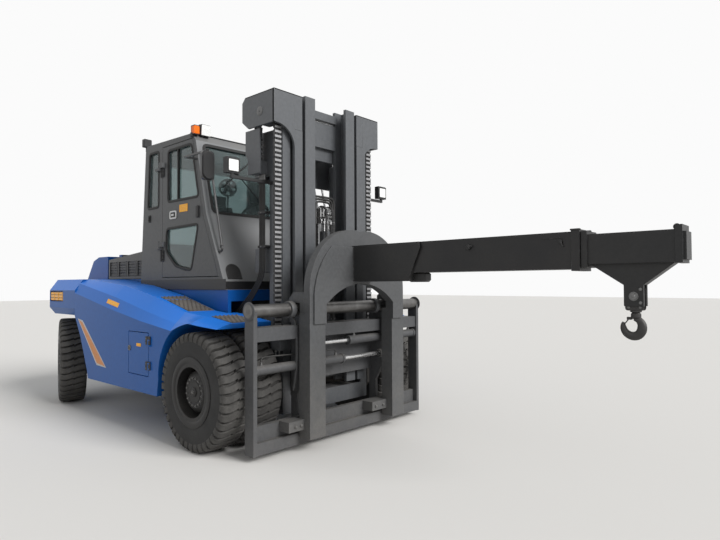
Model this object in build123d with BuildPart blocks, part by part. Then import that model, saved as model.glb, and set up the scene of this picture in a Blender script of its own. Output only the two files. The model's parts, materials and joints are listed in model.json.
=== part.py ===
from build123d import *
from math import cos, radians, sin
import os

# Heavy forklift truck on pneumatic tyres, with a three-stage mast and a crane jib in place of forks.
# Lengths are millimetres: +X points forward, +Y to the truck's left and +Z up.
# The origin lies on the ground, below the middle of the drive axle.

# Wheels and axles
tyre_diameter = 1125.0
tyre_width = 315.0
tread_half_width = 140.0
lugs_in_row = 16
lug_root_radius = 531.0
lug_tip_share = 0.24  # half the lug's width at its tip, as a share of the pitch
lug_root_share = 0.31
carcass_sides = 16
shoulder_y = 146.0
shoulder_radius = 512.0
wall_radius = 425.0  # where the side wall is widest
dish_radius = 350.0
wheelbase = 3320.0
front_half_width = 1425.0  # over the outer front tyres
twin_spacing = 355.0
rear_wheel_y = 1208.0
kingpin_y = 1010.0
parked_steer = -18.0  # degrees the rear wheels are turned by, seen from above
bead_radius = 254.0
bead_half_width = 126.0
tyre_seat_gap = 0.3
rim_wall = 16.0
rim_flange_radius = 290.0
rim_flange = 12.0
rim_flange_offset = 141.0
hub_bore_gap = 0.05
pin_gap = 0.05

axle_height = tyre_diameter / 2
tyre_radius = tyre_diameter / 2
front_outer_y = front_half_width - tyre_width / 2
front_inner_y = front_outer_y - twin_spacing
rear_x = -wheelbase

# Truck body
rear_end = -4090.0
body_half_width = 1420.0
sill_height = 445.0
seam_x = -2720.0  # side body meets counterweight
cab_half_width = 880.0
cab_wall = 50.0
cab_floor_bottom = 1520.0
cab_floor_top = 1630.0
cab_base_half_width = 865.0

# Mast and carriage
mast_front = 458.5
head_top = 3512.0
mast_top = head_top + 19.0
pivot_x = 300.0
pivot_z = 500.0
carriage_half_width = 1234.0
end_plate = 42.0
carriage_front = 715.0
carriage_rear = 590.0
shaft_z = 1335.0
shaft_radius = 62.5

# Jib
leg_front = 882.5
leg_rear = 735.0
leg_inner_y = 510.0
leg_outer_y = 713.0
jib_top = 1962.0
jib_bottom = 1680.0
jib_half_width = 108.0
jib_reach = 3844.0
doubler_y = 668.0  # the plate welded on the yoke's front
doubler_top = 1948.0
doubler_thick = 18.0
lock_rear = 660.5
lock_y = ((-898.0, -705.0), (272.0, 515.0))


def block(x, y, z, mode=Mode.ADD):
    """A box between the given ends along each axis."""
    with Locations(((x[0] + x[1]) / 2, (y[0] + y[1]) / 2, (z[0] + z[1]) / 2)):
        Box(x[1] - x[0], y[1] - y[0], z[1] - z[0], mode=mode)


def bar(start, end, radius, mode=Mode.ADD):
    """A round bar from one point to another."""
    along = Vector(*end) - Vector(*start)
    with Locations(Plane(origin=start, z_dir=along)):
        Cylinder(radius, along.length, align=(Align.CENTER, Align.CENTER, Align.MIN), mode=mode)


def outline(plane, points):
    """A flat face with straight sides."""
    with BuildSketch(plane) as face:
        with BuildLine():
            Polyline(*points, close=True)
        make_face()
    return face.sketch


def side_plate(points, y, mode=Mode.ADD):
    """A plate outlined in X and Z, between two values of Y."""
    extrude(outline(Plane.XZ.offset(-y[1]), points), amount=y[1] - y[0], mode=mode)


def flat_plate(points, z, mode=Mode.ADD):
    """A plate outlined in X and Y, between two values of Z."""
    extrude(outline(Plane.XY.offset(z[0]), points), amount=z[1] - z[0], mode=mode)


def tube(points, radius, bend, sides):
    """A rail or hose along a path of straight runs and bends, its round section made of flat sides."""
    with BuildLine() as path:
        FilletPolyline(*points, radius=bend)
    with BuildSketch(Plane(origin=path.line @ 0, z_dir=path.line % 0)) as ring:
        RegularPolygon(radius, sides)
    sweep(ring.sketch, path=path.line)


def mirrored(source):
    """The same piece on the truck's left."""
    with BuildPart() as twin:
        mirror(source.part, about=Plane.XZ)
    return twin


def turned(vector, degrees):
    """A vector turned about the vertical."""
    return Vector(*vector).rotate(Axis.Z, degrees)


# Tyres and wheels. Distances along an axle run outward from a wheel's reference point.
def axle_plane(centre, outward):
    """The upright plane through an axle, its first axis pointing outward."""
    return Plane(origin=centre, x_dir=outward, z_dir=Vector(*outward).cross(Vector(0, 0, 1)))


def wheel_plane(centre, outward, along):
    """The plane across an axle at a distance along it, its first axis pointing up."""
    return Plane(origin=Vector(*centre) + Vector(*outward) * along, x_dir=(0, 0, 1), z_dir=outward)


def lug_outline(phase):
    """The outline of a row of lugs, each row of points: share of the pitch and radius."""
    pitch = 360 / lugs_in_row
    tip = tyre_radius / cos(radians(pitch * lug_tip_share))
    tooth = [
        (-lug_root_share, lug_root_radius), (-lug_tip_share, tip),
        (lug_tip_share, tip), (lug_root_share, lug_root_radius),
    ]
    turns = [((k + phase + share) * pitch, radius) for k in range(lugs_in_row) for share, radius in tooth]
    return [(radius * cos(radians(angle)), radius * sin(radians(angle))) for angle, radius in turns]


def frustum(plane, low, high):
    """A flat-sided cone between two polygons, each given as distance along and radius."""
    turns = [radians(360 * k / carcass_sides) for k in range(carcass_sides)]
    rings = [[plane.from_local_coords((r * cos(a), r * sin(a), along)) for a in turns] for along, r in (low, high)]
    faces = [Face(Wire.make_polygon(ring)) for ring in rings]
    for k in range(carcass_sides):
        corners = (rings[0][k - 1], rings[0][k], rings[1][k], rings[1][k - 1])
        faces.append(Face(Wire.make_polygon(corners)))
    return Solid(Shell(faces))


def make_tyres(centre, outward, offsets):
    """Tyres side by side on one axle: a carcass, two rows of lugs half a pitch apart and dished walls."""
    half = tyre_width / 2
    bore = bead_radius / cos(radians(180 / carcass_sides))
    with BuildPart() as tyres:
        for offset in offsets:
            middle = wheel_plane(centre, outward, offset)
            for row in (0, 1):
                with BuildSketch(middle.offset((row - 1) * tread_half_width)):
                    with BuildLine():
                        Polyline(*lug_outline(row / 2), close=True)
                    make_face()
                    Circle(bead_radius - 30, mode=Mode.SUBTRACT)
                extrude(amount=tread_half_width)
            add(frustum(middle, (-shoulder_y, shoulder_radius), (shoulder_y, shoulder_radius)))
            for side in (-1, 1):
                add(frustum(middle, (side * shoulder_y, shoulder_radius), (side * half, wall_radius)))
            for side in (-1, 1):
                dish = frustum(middle, (side * bead_half_width, bore), (side * (half + 1), dish_radius))
                add(dish, mode=Mode.SUBTRACT)
            add(frustum(middle, (-half, bore), (half, bore)), mode=Mode.SUBTRACT)
    return tyres


def make_rim(centre, outward, section):
    """A rim with its disc and hub, turned about the axle."""
    with BuildPart() as rim:
        with BuildSketch(axle_plane(centre, outward)):
            with BuildLine():
                Polyline(*section, close=True)
            make_face()
        revolve(axis=Axis(centre, outward))
    return rim


front_spindle_radius = 70.0
rear_spindle_radius = 50.0
barrel_outer = bead_radius - tyre_seat_gap
barrel_inner = barrel_outer - rim_wall
twin_end = twin_spacing + rim_flange_offset
hub_radius = 150.0
cap_radius = 190.0
front_disc = (310.0, 335.0)
front_hub_inner = -130.0
front_spindle_end = 425.0
cap_end = 465.0
front_bore = front_spindle_radius + hub_bore_gap
front_rim_section = [
    (front_hub_inner, front_bore),
    (front_hub_inner, hub_radius),
    (front_disc[0], hub_radius),
    (front_disc[0], barrel_inner),
    (-rim_flange_offset - rim_flange, barrel_inner),
    (-rim_flange_offset - rim_flange, rim_flange_radius),
    (-rim_flange_offset, rim_flange_radius),
    (-rim_flange_offset, barrel_outer),
    (twin_end, barrel_outer),
    (twin_end, rim_flange_radius),
    (twin_end + rim_flange, rim_flange_radius),
    (twin_end + rim_flange, barrel_inner),
    (front_disc[1], barrel_inner),
    (front_disc[1], cap_radius),
    (cap_end - 25, cap_radius),
    (cap_end, hub_radius),
    (cap_end, 0),
    (front_spindle_end + 5, 0),
    (front_spindle_end + 5, front_bore),
]
rear_disc = (70.0, 92.0)
rear_hub_radius = 115.0
rear_hub_inner = -60.0
rear_spindle_end = 95.0
rear_cap_end = 150.0
rear_bore = rear_spindle_radius + hub_bore_gap
rear_rim_section = [
    (rear_hub_inner, rear_bore),
    (rear_hub_inner, rear_hub_radius),
    (rear_disc[0], rear_hub_radius),
    (rear_disc[0], barrel_inner),
    (-rim_flange_offset - rim_flange, barrel_inner),
    (-rim_flange_offset - rim_flange, rim_flange_radius),
    (-rim_flange_offset, rim_flange_radius),
    (-rim_flange_offset, barrel_outer),
    (rim_flange_offset, barrel_outer),
    (rim_flange_offset, rim_flange_radius),
    (rim_flange_offset + rim_flange, rim_flange_radius),
    (rim_flange_offset + rim_flange, barrel_inner),
    (rear_disc[1], barrel_inner),
    (rear_disc[1], rear_hub_radius + 25),
    (rear_disc[1] + 12, rear_hub_radius),
    (rear_cap_end - 12, rear_hub_radius - 20),
    (rear_cap_end, rear_hub_radius - 35),
    (rear_cap_end, 0),
    (rear_spindle_end + 5, 0),
    (rear_spindle_end + 5, rear_bore),
]

right_out = (0, -1, 0)
left_out = (0, 1, 0)
front_right_centre = (0, -front_inner_y, axle_height)
front_left_centre = (0, front_inner_y, axle_height)
rear_offset = rear_wheel_y - kingpin_y
steer_right_out = turned(right_out, parked_steer)
steer_left_out = turned(left_out, parked_steer)
kingpin_right = Vector(rear_x, -kingpin_y, axle_height)
kingpin_left = Vector(rear_x, kingpin_y, axle_height)
rear_right_centre = kingpin_right + steer_right_out * rear_offset
rear_left_centre = kingpin_left + steer_left_out * rear_offset

tyres_front_right = make_tyres(front_right_centre, right_out, (0, twin_spacing))
tyres_front_left = make_tyres(front_left_centre, left_out, (0, twin_spacing))
tyre_rear_right = make_tyres(rear_right_centre, steer_right_out, (0,))
tyre_rear_left = make_tyres(rear_left_centre, steer_left_out, (0,))
rims_front_right = make_rim(front_right_centre, right_out, front_rim_section)
rims_front_left = make_rim(front_left_centre, left_out, front_rim_section)
rim_rear_right = make_rim(rear_right_centre, steer_right_out, rear_rim_section)
rim_rear_left = make_rim(rear_left_centre, steer_left_out, rear_rim_section)

# Drive axle: tubes, differential case and the spindles that the hubs turn on
axle_tube_radius = 115.0
case_radius = 225.0
case_x = -62.0
case_half = 130.0
axle_tube_end = 702.0
with BuildPart() as drive_axle:
    bar((0, -axle_tube_end, axle_height), (0, axle_tube_end, axle_height), axle_tube_radius)
    spindle_y = front_inner_y + front_spindle_end
    bar((0, -spindle_y, axle_height), (0, spindle_y, axle_height), front_spindle_radius)
    bar((case_x, -case_half, axle_height), (case_x, case_half, axle_height), case_radius)
    bar((case_x - case_radius - 90, 0, axle_height), (case_x, 0, axle_height), 85)
    for side in (-1, 1):
        bar((0, side * 230, axle_height), (0, side * 100, axle_height), axle_tube_radius + 35)

# Chassis frame
rail_y = (380.0, 420.0)
rail_top = 1100.0
counter_front = -3520.0  # front face of the counterweight's lower block
counter_bottom = 520.0
rail_profile = [
    (-350, 550),
    (-2600, 550),
    (-2860, 820),
    (counter_front, 820),
    (counter_front, rail_top),
    (-350, rail_top),
]
cheek_y = (645.0, 695.0)
cheek_profile = [
    (-560, 360),
    (330, 360),
    (400, 430),
    (400, 600),
    (330, 760),
    (-350, 900),
    (-560, 900),
]
pivot_pin_radius = 45.0
tilt_y = 580.0
tilt_rear = (-1100.0, 1020.0)
tilt_front = (130.0, 1200.0)
tilt_eye_half = 22.0
tilt_pin_radius = 28.0
cab_mount_x = ((-560, -500), (-2010, -1950))
sub_floor_bottom = 1400.0
trunnion_z = 620.0
trunnion_radius = 42.0
hanger_x = ((-3020.0, -2980.0), (-3500.0, -3450.0))
outrigger_x = ((-950, -850), (-2045, -1945))
body_inner_y = 890.0
with BuildPart() as chassis_frame:
    for side in (-1, 1):
        low, high = sorted((side * rail_y[0], side * rail_y[1]))
        side_plate(rail_profile, (low, high))
        low, high = sorted((side * cheek_y[0], side * cheek_y[1]))
        side_plate(cheek_profile, (low, high))
        low, high = sorted((side * rail_y[1], side * cheek_y[0]))
        block((-560, -460), (low, high), (560, 900))
        for x in outrigger_x:
            low, high = sorted((side * rail_y[1], side * body_inner_y))
            block(x, (low, high), (560, 740))
        low, high = sorted((side * rail_y[1], side * (tilt_y - tilt_eye_half - 6)))
        block((tilt_rear[0] - 60, tilt_rear[0] + 60), (low, high), (tilt_rear[1] - 60, rail_top))
        pin_start = side * rail_y[1]
        pin_end = side * (tilt_y + tilt_eye_half + 12)
        bar((tilt_rear[0], pin_start, tilt_rear[1]), (tilt_rear[0], pin_end, tilt_rear[1]), tilt_pin_radius)
    for x in cab_mount_x:
        block(x, (-rail_y[1], rail_y[1]), (700, sub_floor_bottom))
    block((-3500, -2980), (-rail_y[0], rail_y[0]), (820, 860))
    for x in hanger_x:
        block(x, (-130, 130), (550, 820))
        bar((x[0], 0, trunnion_z), (x[1], 0, trunnion_z), trunnion_radius + tyre_seat_gap, Mode.SUBTRACT)
    for side in (-1, 1):
        inner = side * (cheek_y[0] - 1)
        outer = side * (cheek_y[1] + 1)
        bar((0, inner, axle_height), (0, outer, axle_height), axle_tube_radius + tyre_seat_gap, Mode.SUBTRACT)
        bar((pivot_x, inner, pivot_z), (pivot_x, outer, pivot_z), pivot_pin_radius + pin_gap, Mode.SUBTRACT)

# Engine, one closed mass on its mounts between the rails, and the radiator standing on the rails
with BuildPart() as engine:
    block((-2960, -2080), (-330, 330), (640, 1430))
    for x in (-2850, -2250):
        for side in (-1, 1):
            low, high = sorted((side * 330, side * rail_y[0]))
            block((x - 60, x + 60), (low, high), (930, 1000))
    block((-3290, -3180), (-560, 560), (rail_top, 1640))

# Steering axle with its fork ends, trunnion and the steering cylinder's barrel
beam_half = 90.0
beam_end = 780.0
fork_plate = 20.0
fork_half_gap = 130.0
beam_z = (axle_height - fork_half_gap, axle_height + fork_half_gap)
fork_radius = 72.0
kingpin_radius = 35.0
steer_cylinder_x = rear_x + 200.0
steer_cylinder_z = 470.0
steer_barrel_radius = 45.0
steer_barrel_half = 280.0
steer_rod_radius = 22.0
with BuildPart() as steer_axle:
    block((rear_x - beam_half, rear_x + beam_half), (-beam_end, beam_end), beam_z)
    for level in (-1, 1):
        z = sorted((axle_height + level * fork_half_gap, axle_height + level * (fork_half_gap + fork_plate)))
        for side in (-1, 1):
            low, high = sorted((side * 700, side * kingpin_y))
            block((rear_x - fork_radius, rear_x + fork_radius), (low, high), z)
            bar((rear_x, side * kingpin_y, z[0]), (rear_x, side * kingpin_y, z[1]), fork_radius)
    for side in (-1, 1):
        bar(
            (rear_x, side * kingpin_y, axle_height - 200),
            (rear_x, side * kingpin_y, axle_height + 200),
            kingpin_radius + pin_gap,
            Mode.SUBTRACT,
        )
        low, high = sorted((side * 110, side * 200))
        block((rear_x + beam_half, steer_cylinder_x), (low, high), (450, 490))
    bar((hanger_x[1][0], 0, trunnion_z), (hanger_x[0][1], 0, trunnion_z), trunnion_radius)
    barrel_start = (steer_cylinder_x, -steer_barrel_half, steer_cylinder_z)
    barrel_end = (steer_cylinder_x, steer_barrel_half, steer_cylinder_z)
    bar(barrel_start, barrel_end, steer_barrel_radius)
    bar(barrel_start, barrel_end, steer_rod_radius + pin_gap, Mode.SUBTRACT)

# Steering knuckles: a block on the kingpin, the wheel's spindle and the steering arm
knuckle_half = 55.0
knuckle_half_height = 124.0
arm_reach = (200.0, 50.0)  # from the kingpin, forward and inward, with the wheels straight
arm_z = (440.0, 465.0)
arm_radius = 26.0
link_z = (403.0, 423.0)
link_pin_radius = 15.0
link_length = 260.0


def steer_point(side):
    """Where the steering arm's pin stands with the wheels as parked."""
    arm = turned((arm_reach[0], -side * arm_reach[1], 0), parked_steer)
    return Vector(rear_x, side * kingpin_y, 0) + arm


def make_knuckle(side, outward):
    """A knuckle as parked."""
    pin = Vector(rear_x, side * kingpin_y, axle_height)
    arm_end = steer_point(side)
    upright = Plane(origin=pin, x_dir=outward, z_dir=(0, 0, 1))
    with BuildPart() as knuckle:
        with Locations(upright):
            Box(2 * knuckle_half, 2 * knuckle_half, 2 * knuckle_half_height)
        flange_end = pin + outward * (rear_offset + rear_hub_inner - 6)
        spindle_end = pin + outward * (rear_offset + rear_spindle_end)
        bar(tuple(pin), tuple(flange_end), 80)
        bar(tuple(pin), tuple(spindle_end), rear_spindle_radius)
        bar((pin.X, pin.Y, pin.Z - 160), (pin.X, pin.Y, pin.Z + 160), kingpin_radius)
        along = arm_end - Vector(pin.X, pin.Y, 0)
        across = along.cross(Vector(0, 0, 1)).normalized() * arm_radius
        root = Vector(pin.X, pin.Y, 0)
        corners = [root + across, arm_end + across, arm_end - across, root - across]
        flat_plate([(c.X, c.Y) for c in corners], arm_z)
        bar((arm_end.X, arm_end.Y, arm_z[0]), (arm_end.X, arm_end.Y, arm_z[1]), arm_radius)
        bar((arm_end.X, arm_end.Y, link_z[0] - 5), (arm_end.X, arm_end.Y, arm_z[0]), link_pin_radius)
    return knuckle


def make_link(side):
    """The link from a steering arm towards the cylinder's rod, open at the rod's eye."""
    start = steer_point(side)
    end_y = start.Y - side * link_length
    low, high = sorted((start.Y, end_y))
    with BuildPart() as link:
        block((start.X - 18, start.X + 18), (low, high), link_z)
        for y in (start.Y, end_y):
            bar((start.X, y, link_z[0]), (start.X, y, link_z[1]), arm_radius)
            bar((start.X, y, link_z[0]), (start.X, y, link_z[1]), link_pin_radius + pin_gap, Mode.SUBTRACT)
    return link


knuckle_right = make_knuckle(-1, steer_right_out)
knuckle_left = make_knuckle(1, steer_left_out)
steer_link_right = make_link(-1)
steer_link_left = make_link(1)
rod_eye_right = steer_point(-1).Y + link_length
rod_eye_left = steer_point(1).Y - link_length
with BuildPart() as steer_rod:
    bar(
        (steer_cylinder_x, rod_eye_right, steer_cylinder_z),
        (steer_cylinder_x, rod_eye_left, steer_cylinder_z),
        steer_rod_radius,
    )
    for x, y in ((steer_point(-1).X, rod_eye_right), (steer_point(1).X, rod_eye_left)):
        bar((x, y, link_z[1] + 5), (x, y, steer_cylinder_z + 24), 30)

# Side bodies: a sloping tank and step box with the front wheel's fender
# Each row: x, top of the side panel, top of the bright band, height of the deck
body_sections = [
    (seam_x, 1478, 1600, 1652),
    (-1710, 1302, 1440, 1570),
    (-990, 1194, 1300, 1450),
    (-375, 1122, 1190, 1300),
    (0, 1205, 1235, 1268),
    (385, 1160, 1185, 1215),
]
band_y = 1362.0
deck_edge_y = 1250.0
fender_inner_y = 770.0
arch_front_x = 395.0
locker_x = (-1250.0, -800.0)
locker_z = (620.0, 1080.0)
locker_depth = 160.0
locker_hinge = (locker_x[1] + 4.0, -body_half_width - 9.0)
locker_hinge_z = ((700.0, 770.0), (940.0, 1010.0))
locker_pin_radius = 5.0
hinge_ear = 14.0
door_gap = 8.0
with BuildPart() as side_bodies:
    for x, side_top, band_top, deck in body_sections:
        with BuildSketch(Plane.YZ.offset(x)):
            with BuildLine():
                Polyline(
                    (-fender_inner_y, sill_height),
                    (-body_half_width, sill_height),
                    (-body_half_width, side_top),
                    (-band_y, band_top),
                    (-deck_edge_y, deck),
                    (-fender_inner_y, deck),
                    close=True,
                )
            make_face()
    loft(ruled=True)
    with BuildSketch(Plane.XZ.offset(fender_inner_y - 10)):
        with BuildLine():
            Polyline(
                (arch_front_x + 20, 1168), (arch_front_x + 20, sill_height - 10),
                (-630, sill_height - 10), (-605, 620),
            )
            ThreePointArc((-605, 620), (-440, 1045), (0, 1200))
            Line((0, 1200), (arch_front_x + 20, 1168))
        make_face()
    extrude(amount=body_half_width - fender_inner_y + 20, mode=Mode.SUBTRACT)
    rear_arch = [
        (seam_x - 10, sill_height - 10),
        (-2300, sill_height - 10),
        (-2330, 530),
        (-2423, 717),
        (-2549, 956),
        (-2676, 1137),
        (seam_x, 1190),
        (seam_x - 10, 1190),
    ]
    side_plate(rear_arch, (-body_half_width - 10, -fender_inner_y + 10), Mode.SUBTRACT)
    block((-2064, -180), (-body_inner_y, -fender_inner_y + 10), (400, 1700), Mode.SUBTRACT)
    block(locker_x, (-body_half_width - 10, -body_half_width + locker_depth), locker_z, Mode.SUBTRACT)
    for z in locker_hinge_z:
        for ear in ((z[0], z[0] + hinge_ear), (z[1] - hinge_ear, z[1])):
            block((locker_hinge[0], locker_hinge[0] + 36), (-body_half_width - 18, -body_half_width), ear)
            bar((locker_hinge[0], locker_hinge[1], ear[0]), (locker_hinge[0], locker_hinge[1], ear[1]), 9)
        bar((locker_hinge[0], locker_hinge[1], z[0]), (locker_hinge[0], locker_hinge[1], z[1]), locker_pin_radius)
    mirror(about=Plane.XZ)

# Black tread pads lying on the sloping decks, each row: rear end, front end
pad_rows = [(-960.0, -860.0), (-825.0, -390.0), (20.0, 360.0)]
pad_thick = 5.0
pad_y = (905.0, 1205.0)


def deck_height(x):
    """Height of the sloping deck."""
    for rear, front in zip(body_sections, body_sections[1:]):
        if rear[0] <= x <= front[0]:
            return rear[3] + (front[3] - rear[3]) * (x - rear[0]) / (front[0] - rear[0])


with BuildPart() as step_pads:
    for start, end in pad_rows:
        inner = max(pad_y[0], body_inner_y + 10 if start < -180 else pad_y[0])
        low, high = deck_height(start), deck_height(end)
        side_plate(
            [(start, low), (end, high), (end, high + pad_thick), (start, low + pad_thick)],
            (-pad_y[1], -inner),
        )
    mirror(about=Plane.XZ)

# Side doors on the bodies, hinged at their front edges
locker_door_y = (-body_half_width, -body_half_width + 30.0)
with BuildPart() as side_door_right:
    x = (locker_x[0] + door_gap, locker_x[1] - door_gap)
    z = (locker_z[0] + door_gap, locker_z[1] - door_gap)
    block(x, locker_door_y, z)
    for z in locker_hinge_z:
        low, high = z[0] + hinge_ear + 2, z[1] - hinge_ear - 2
        block((locker_hinge[0] - 70, locker_hinge[0]), (-body_half_width - 16, -body_half_width), (low, high))
        bar((locker_hinge[0], locker_hinge[1], low), (locker_hinge[0], locker_hinge[1], high), 9)
        bar(
            (locker_hinge[0], locker_hinge[1], low),
            (locker_hinge[0], locker_hinge[1], high),
            locker_pin_radius + pin_gap,
            Mode.SUBTRACT,
        )
side_door_left = mirrored(side_door_right)

# Counterweight with the rear wings, the raised middle and the air way through it
wing_bottom = 1190.0
hump_half = 750.0
hump_front = -3300.0
swing_inner_y = 480.0
air_half = 420.0
air_z = (1150.0, 1800.0)
hump_top = 1985.0
hood_hinge = (-3293.0, 2004.0)
hood_ears = ((440.0, 455.0), (545.0, 560.0))
hood_pin_radius = 8.0
wing_corner_x = -3572.0
wing_rear = (-3985.0, 1000.0)
wing_top = 1652.0
wing_bend = (-3830.0, 1255.0)
wing_levels = [(wing_bottom, 70.0), (wing_bottom + 90, 0.0), (wing_top - 140, 0.0), (wing_top, 100.0)]
tow_x = (-4090.0, -3960.0)
tow_half = 70.0
tow_z = (860.0, 940.0)
tow_pin_x = -4105.0
tow_pin_radius = 19.0
lamp_x = (-3560.0, -3110.0)
lamp_z = (1362.0, 1500.0)
lamp_depth = 30.0
with BuildPart() as counterweight:
    for level, inset in wing_levels:
        half = body_half_width - inset
        bend = (wing_bend[0] + inset, wing_bend[1] - inset)
        rear = (wing_rear[0] + inset, wing_rear[1] - inset / 2)
        with BuildSketch(Plane.XY.offset(level)):
            with BuildLine():
                Polyline((wing_corner_x, -half), (seam_x, -half), (seam_x, half), (wing_corner_x, half))
                ThreePointArc((wing_corner_x, half), bend, rear)
                ThreePointArc(rear, (rear_end + inset, 0), (rear[0], -rear[1]))
                ThreePointArc((rear[0], -rear[1]), (bend[0], -bend[1]), (wing_corner_x, -half))
            make_face()
    loft(ruled=True)
    side_plate(
        [
            (hump_front, wing_top - 50), (hump_front, hump_top), (rear_end + 490, hump_top),
            (rear_end + 310, hump_top - 55), (rear_end + 50, wing_top - 50),
        ],
        (-hump_half, hump_half),
    )
    side_plate(
        [
            (counter_front, counter_bottom), (counter_front, wing_bottom + 10),
            (rear_end + 10, wing_bottom + 10), (rear_end + 45, counter_bottom + 180),
            (rear_end + 190, counter_bottom),
        ],
        (-swing_inner_y, swing_inner_y),
    )
    block((tow_x[0] - 60, tow_x[1]), (-tow_half - 30, tow_half + 30), (tow_z[0] - 30, tow_z[1] + 30))
    block((tow_x[0] - 70, tow_x[1] - 60), (-tow_half - 40, tow_half + 40), tow_z, Mode.SUBTRACT)
    bar((tow_pin_x, 0, tow_z[0] - 45), (tow_pin_x, 0, tow_z[1] + 45), tow_pin_radius)
    bar((tow_pin_x, 0, tow_z[1] + 30), (tow_pin_x, 0, tow_z[1] + 45), tow_pin_radius + 12)
    for side in (-1, 1):
        for ear in hood_ears:
            low, high = sorted((side * ear[0], side * ear[1]))
            block((hump_front - 60, hood_hinge[0] + 10), (low, high), (hump_top, hood_hinge[1] + 14))
        bar(
            (hood_hinge[0], side * hood_ears[0][0], hood_hinge[1]),
            (hood_hinge[0], side * hood_ears[1][1], hood_hinge[1]),
            hood_pin_radius,
        )
    block((hump_front, seam_x + 10), (-770, 770), (wing_bottom - 10, 1700), Mode.SUBTRACT)
    block((rear_end - 60, -3200), (-air_half, air_half), air_z, Mode.SUBTRACT)
    for side in (-1, 1):
        low, high = sorted((side * (body_half_width - lamp_depth), side * (body_half_width + 10)))
        block(lamp_x, (low, high), lamp_z, Mode.SUBTRACT)


# Slatted grille in the mouth of the air way
grille_x = (-3900.0, -3870.0)
with BuildPart() as rear_grille:
    block(grille_x, (-air_half, air_half), air_z)
    block(
        (grille_x[0] - 5, grille_x[1] + 5),
        (-air_half + 40, air_half - 40),
        (air_z[0] + 40, air_z[1] - 40),
        Mode.SUBTRACT,
    )
    for k in range(11):
        z = air_z[0] + 55 + 50 * k
        block((grille_x[0] + 5, grille_x[1] - 5), (-air_half + 35, air_half - 35), (z, z + 14))

# Engine hood, hinged at its rear top edge, its top rising towards the cab
hood_x = (-3285.0, -2105.0)
hood_half = 745.0
hood_bottom = 1660.0
hood_top = (1935.0, 2025.0)  # at its rear and at its front
hood_skin = 20.0
louvre_depth = 8.0
louvre_z = (1700.0, 1895.0)
louvre_width = 225.0
louvre_pitch = 272.0
slat_pitch = 39.0
with BuildPart() as engine_hood:
    side_plate(
        [
            (hood_x[0], hood_bottom), (hood_x[1], hood_bottom), (hood_x[1], hood_top[1] - 25),
            (hood_x[1] - 60, hood_top[1]), (hood_x[0], hood_top[0]),
        ],
        (-hood_half, hood_half),
    )
    side_plate(
        [
            (hood_x[0] + hood_skin, hood_bottom - 10), (hood_x[1] - hood_skin, hood_bottom - 10),
            (hood_x[1] - hood_skin, hood_top[1] - 55), (hood_x[1] - 75, hood_top[1] - hood_skin - 5),
            (hood_x[0] + hood_skin, hood_top[0] - hood_skin),
        ],
        (-hood_half + hood_skin, hood_half - hood_skin),
        Mode.SUBTRACT,
    )
    for side in (-1, 1):
        for k in range(4):
            panel = (hood_x[0] + 60 + k * louvre_pitch, hood_x[0] + 60 + k * louvre_pitch + louvre_width)
            low, high = sorted((side * (hood_half - louvre_depth), side * (hood_half + 1)))
            block(panel, (low, high), louvre_z, Mode.SUBTRACT)
            low, high = sorted((side * (hood_half - louvre_depth), side * (hood_half - 1)))
            for slat in range(5):
                z = louvre_z[0] + (slat + 0.25) * slat_pitch
                block(panel, (low, high), (z, z + slat_pitch / 2))
        low, high = sorted((side * (hood_ears[0][1] + 5), side * (hood_ears[1][0] - 5)))
        block((hood_hinge[0], hood_hinge[0] + 60), (low, high), (hood_top[0], hood_hinge[1] + 12))
        knuckle_ends = ((hood_hinge[0], low, hood_hinge[1]), (hood_hinge[0], high, hood_hinge[1]))
        bar(*knuckle_ends, 15)
        bar(*knuckle_ends, hood_pin_radius + pin_gap, Mode.SUBTRACT)

# Blue base below the cab
with BuildPart() as cab_base:
    block((-2050, -200), (-cab_base_half_width, cab_base_half_width), (sub_floor_bottom, cab_floor_bottom))
    for side in (-1, 1):
        low, high = sorted((side * 825, side * cab_base_half_width))
        block((-2050, -200), (low, high), (1150, sub_floor_bottom))

# Cab shell, hollow, with its doorways and windows open
cab_outline = [
    (-2054, cab_floor_bottom),
    (-2054, cab_floor_top),
    (-1943, 3260),
    (-1900, 3310),
    (-876, 3290),
    (-800, 3200),
    (-589, 2357),
    (-267, cab_floor_top),
    (-215, cab_floor_bottom),
]
cab_inside = [
    (-2001, cab_floor_top),
    (-1895, 3245),
    (-1880, 3260),
    (-898, 3240),
    (-846, 3178),
    (-636, 2340),
    (-320, cab_floor_top),
]
doorway = [(-1530, 1660), (-350, 1660), (-650, 2357), (-858, 3235), (-1530, 3235)]
door_outline = [(-1522, 1668), (-363, 1668), (-658, 2357), (-864, 3227), (-1522, 3227)]
quarter_window = [(-1885, 2520), (-1620, 2520), (-1620, 3200), (-1845, 3200)]
upper_window = [(-1400, 2560), (-740, 2560), (-885, 3170), (-1400, 3170)]
windscreen_half = 790.0
windscreen_z = (2380.0, 3160.0)
rear_window_half = 700.0
rear_window_z = (2100.0, 3120.0)


with BuildPart() as cab_shell:
    side_plate(cab_outline, (-cab_half_width, cab_half_width))
    side_plate(cab_inside, (-cab_half_width + cab_wall, cab_half_width - cab_wall), Mode.SUBTRACT)
    side_plate(doorway, (-cab_half_width - 10, cab_half_width + 10), Mode.SUBTRACT)
    side_plate(quarter_window, (-cab_half_width - 10, cab_half_width + 10), Mode.SUBTRACT)
    block((-900, -500), (-windscreen_half, windscreen_half), windscreen_z, Mode.SUBTRACT)
    block((-2100, -1860), (-rear_window_half, rear_window_half), rear_window_z, Mode.SUBTRACT)
    for side in (-1, 1):
        for z in ((2000, 2030), (2950, 2980)):
            low, high = sorted((side * cab_half_width, side * (cab_half_width + 40)))
            block((-1640, -1545), (low, high), z)
            bar((-1560, side * (cab_half_width + 25), z[1]), (-1560, side * (cab_half_width + 25), z[1] + 70), 8)

# Fixed cab glass
glass = 8.0
pane_depth = 20.0


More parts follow.
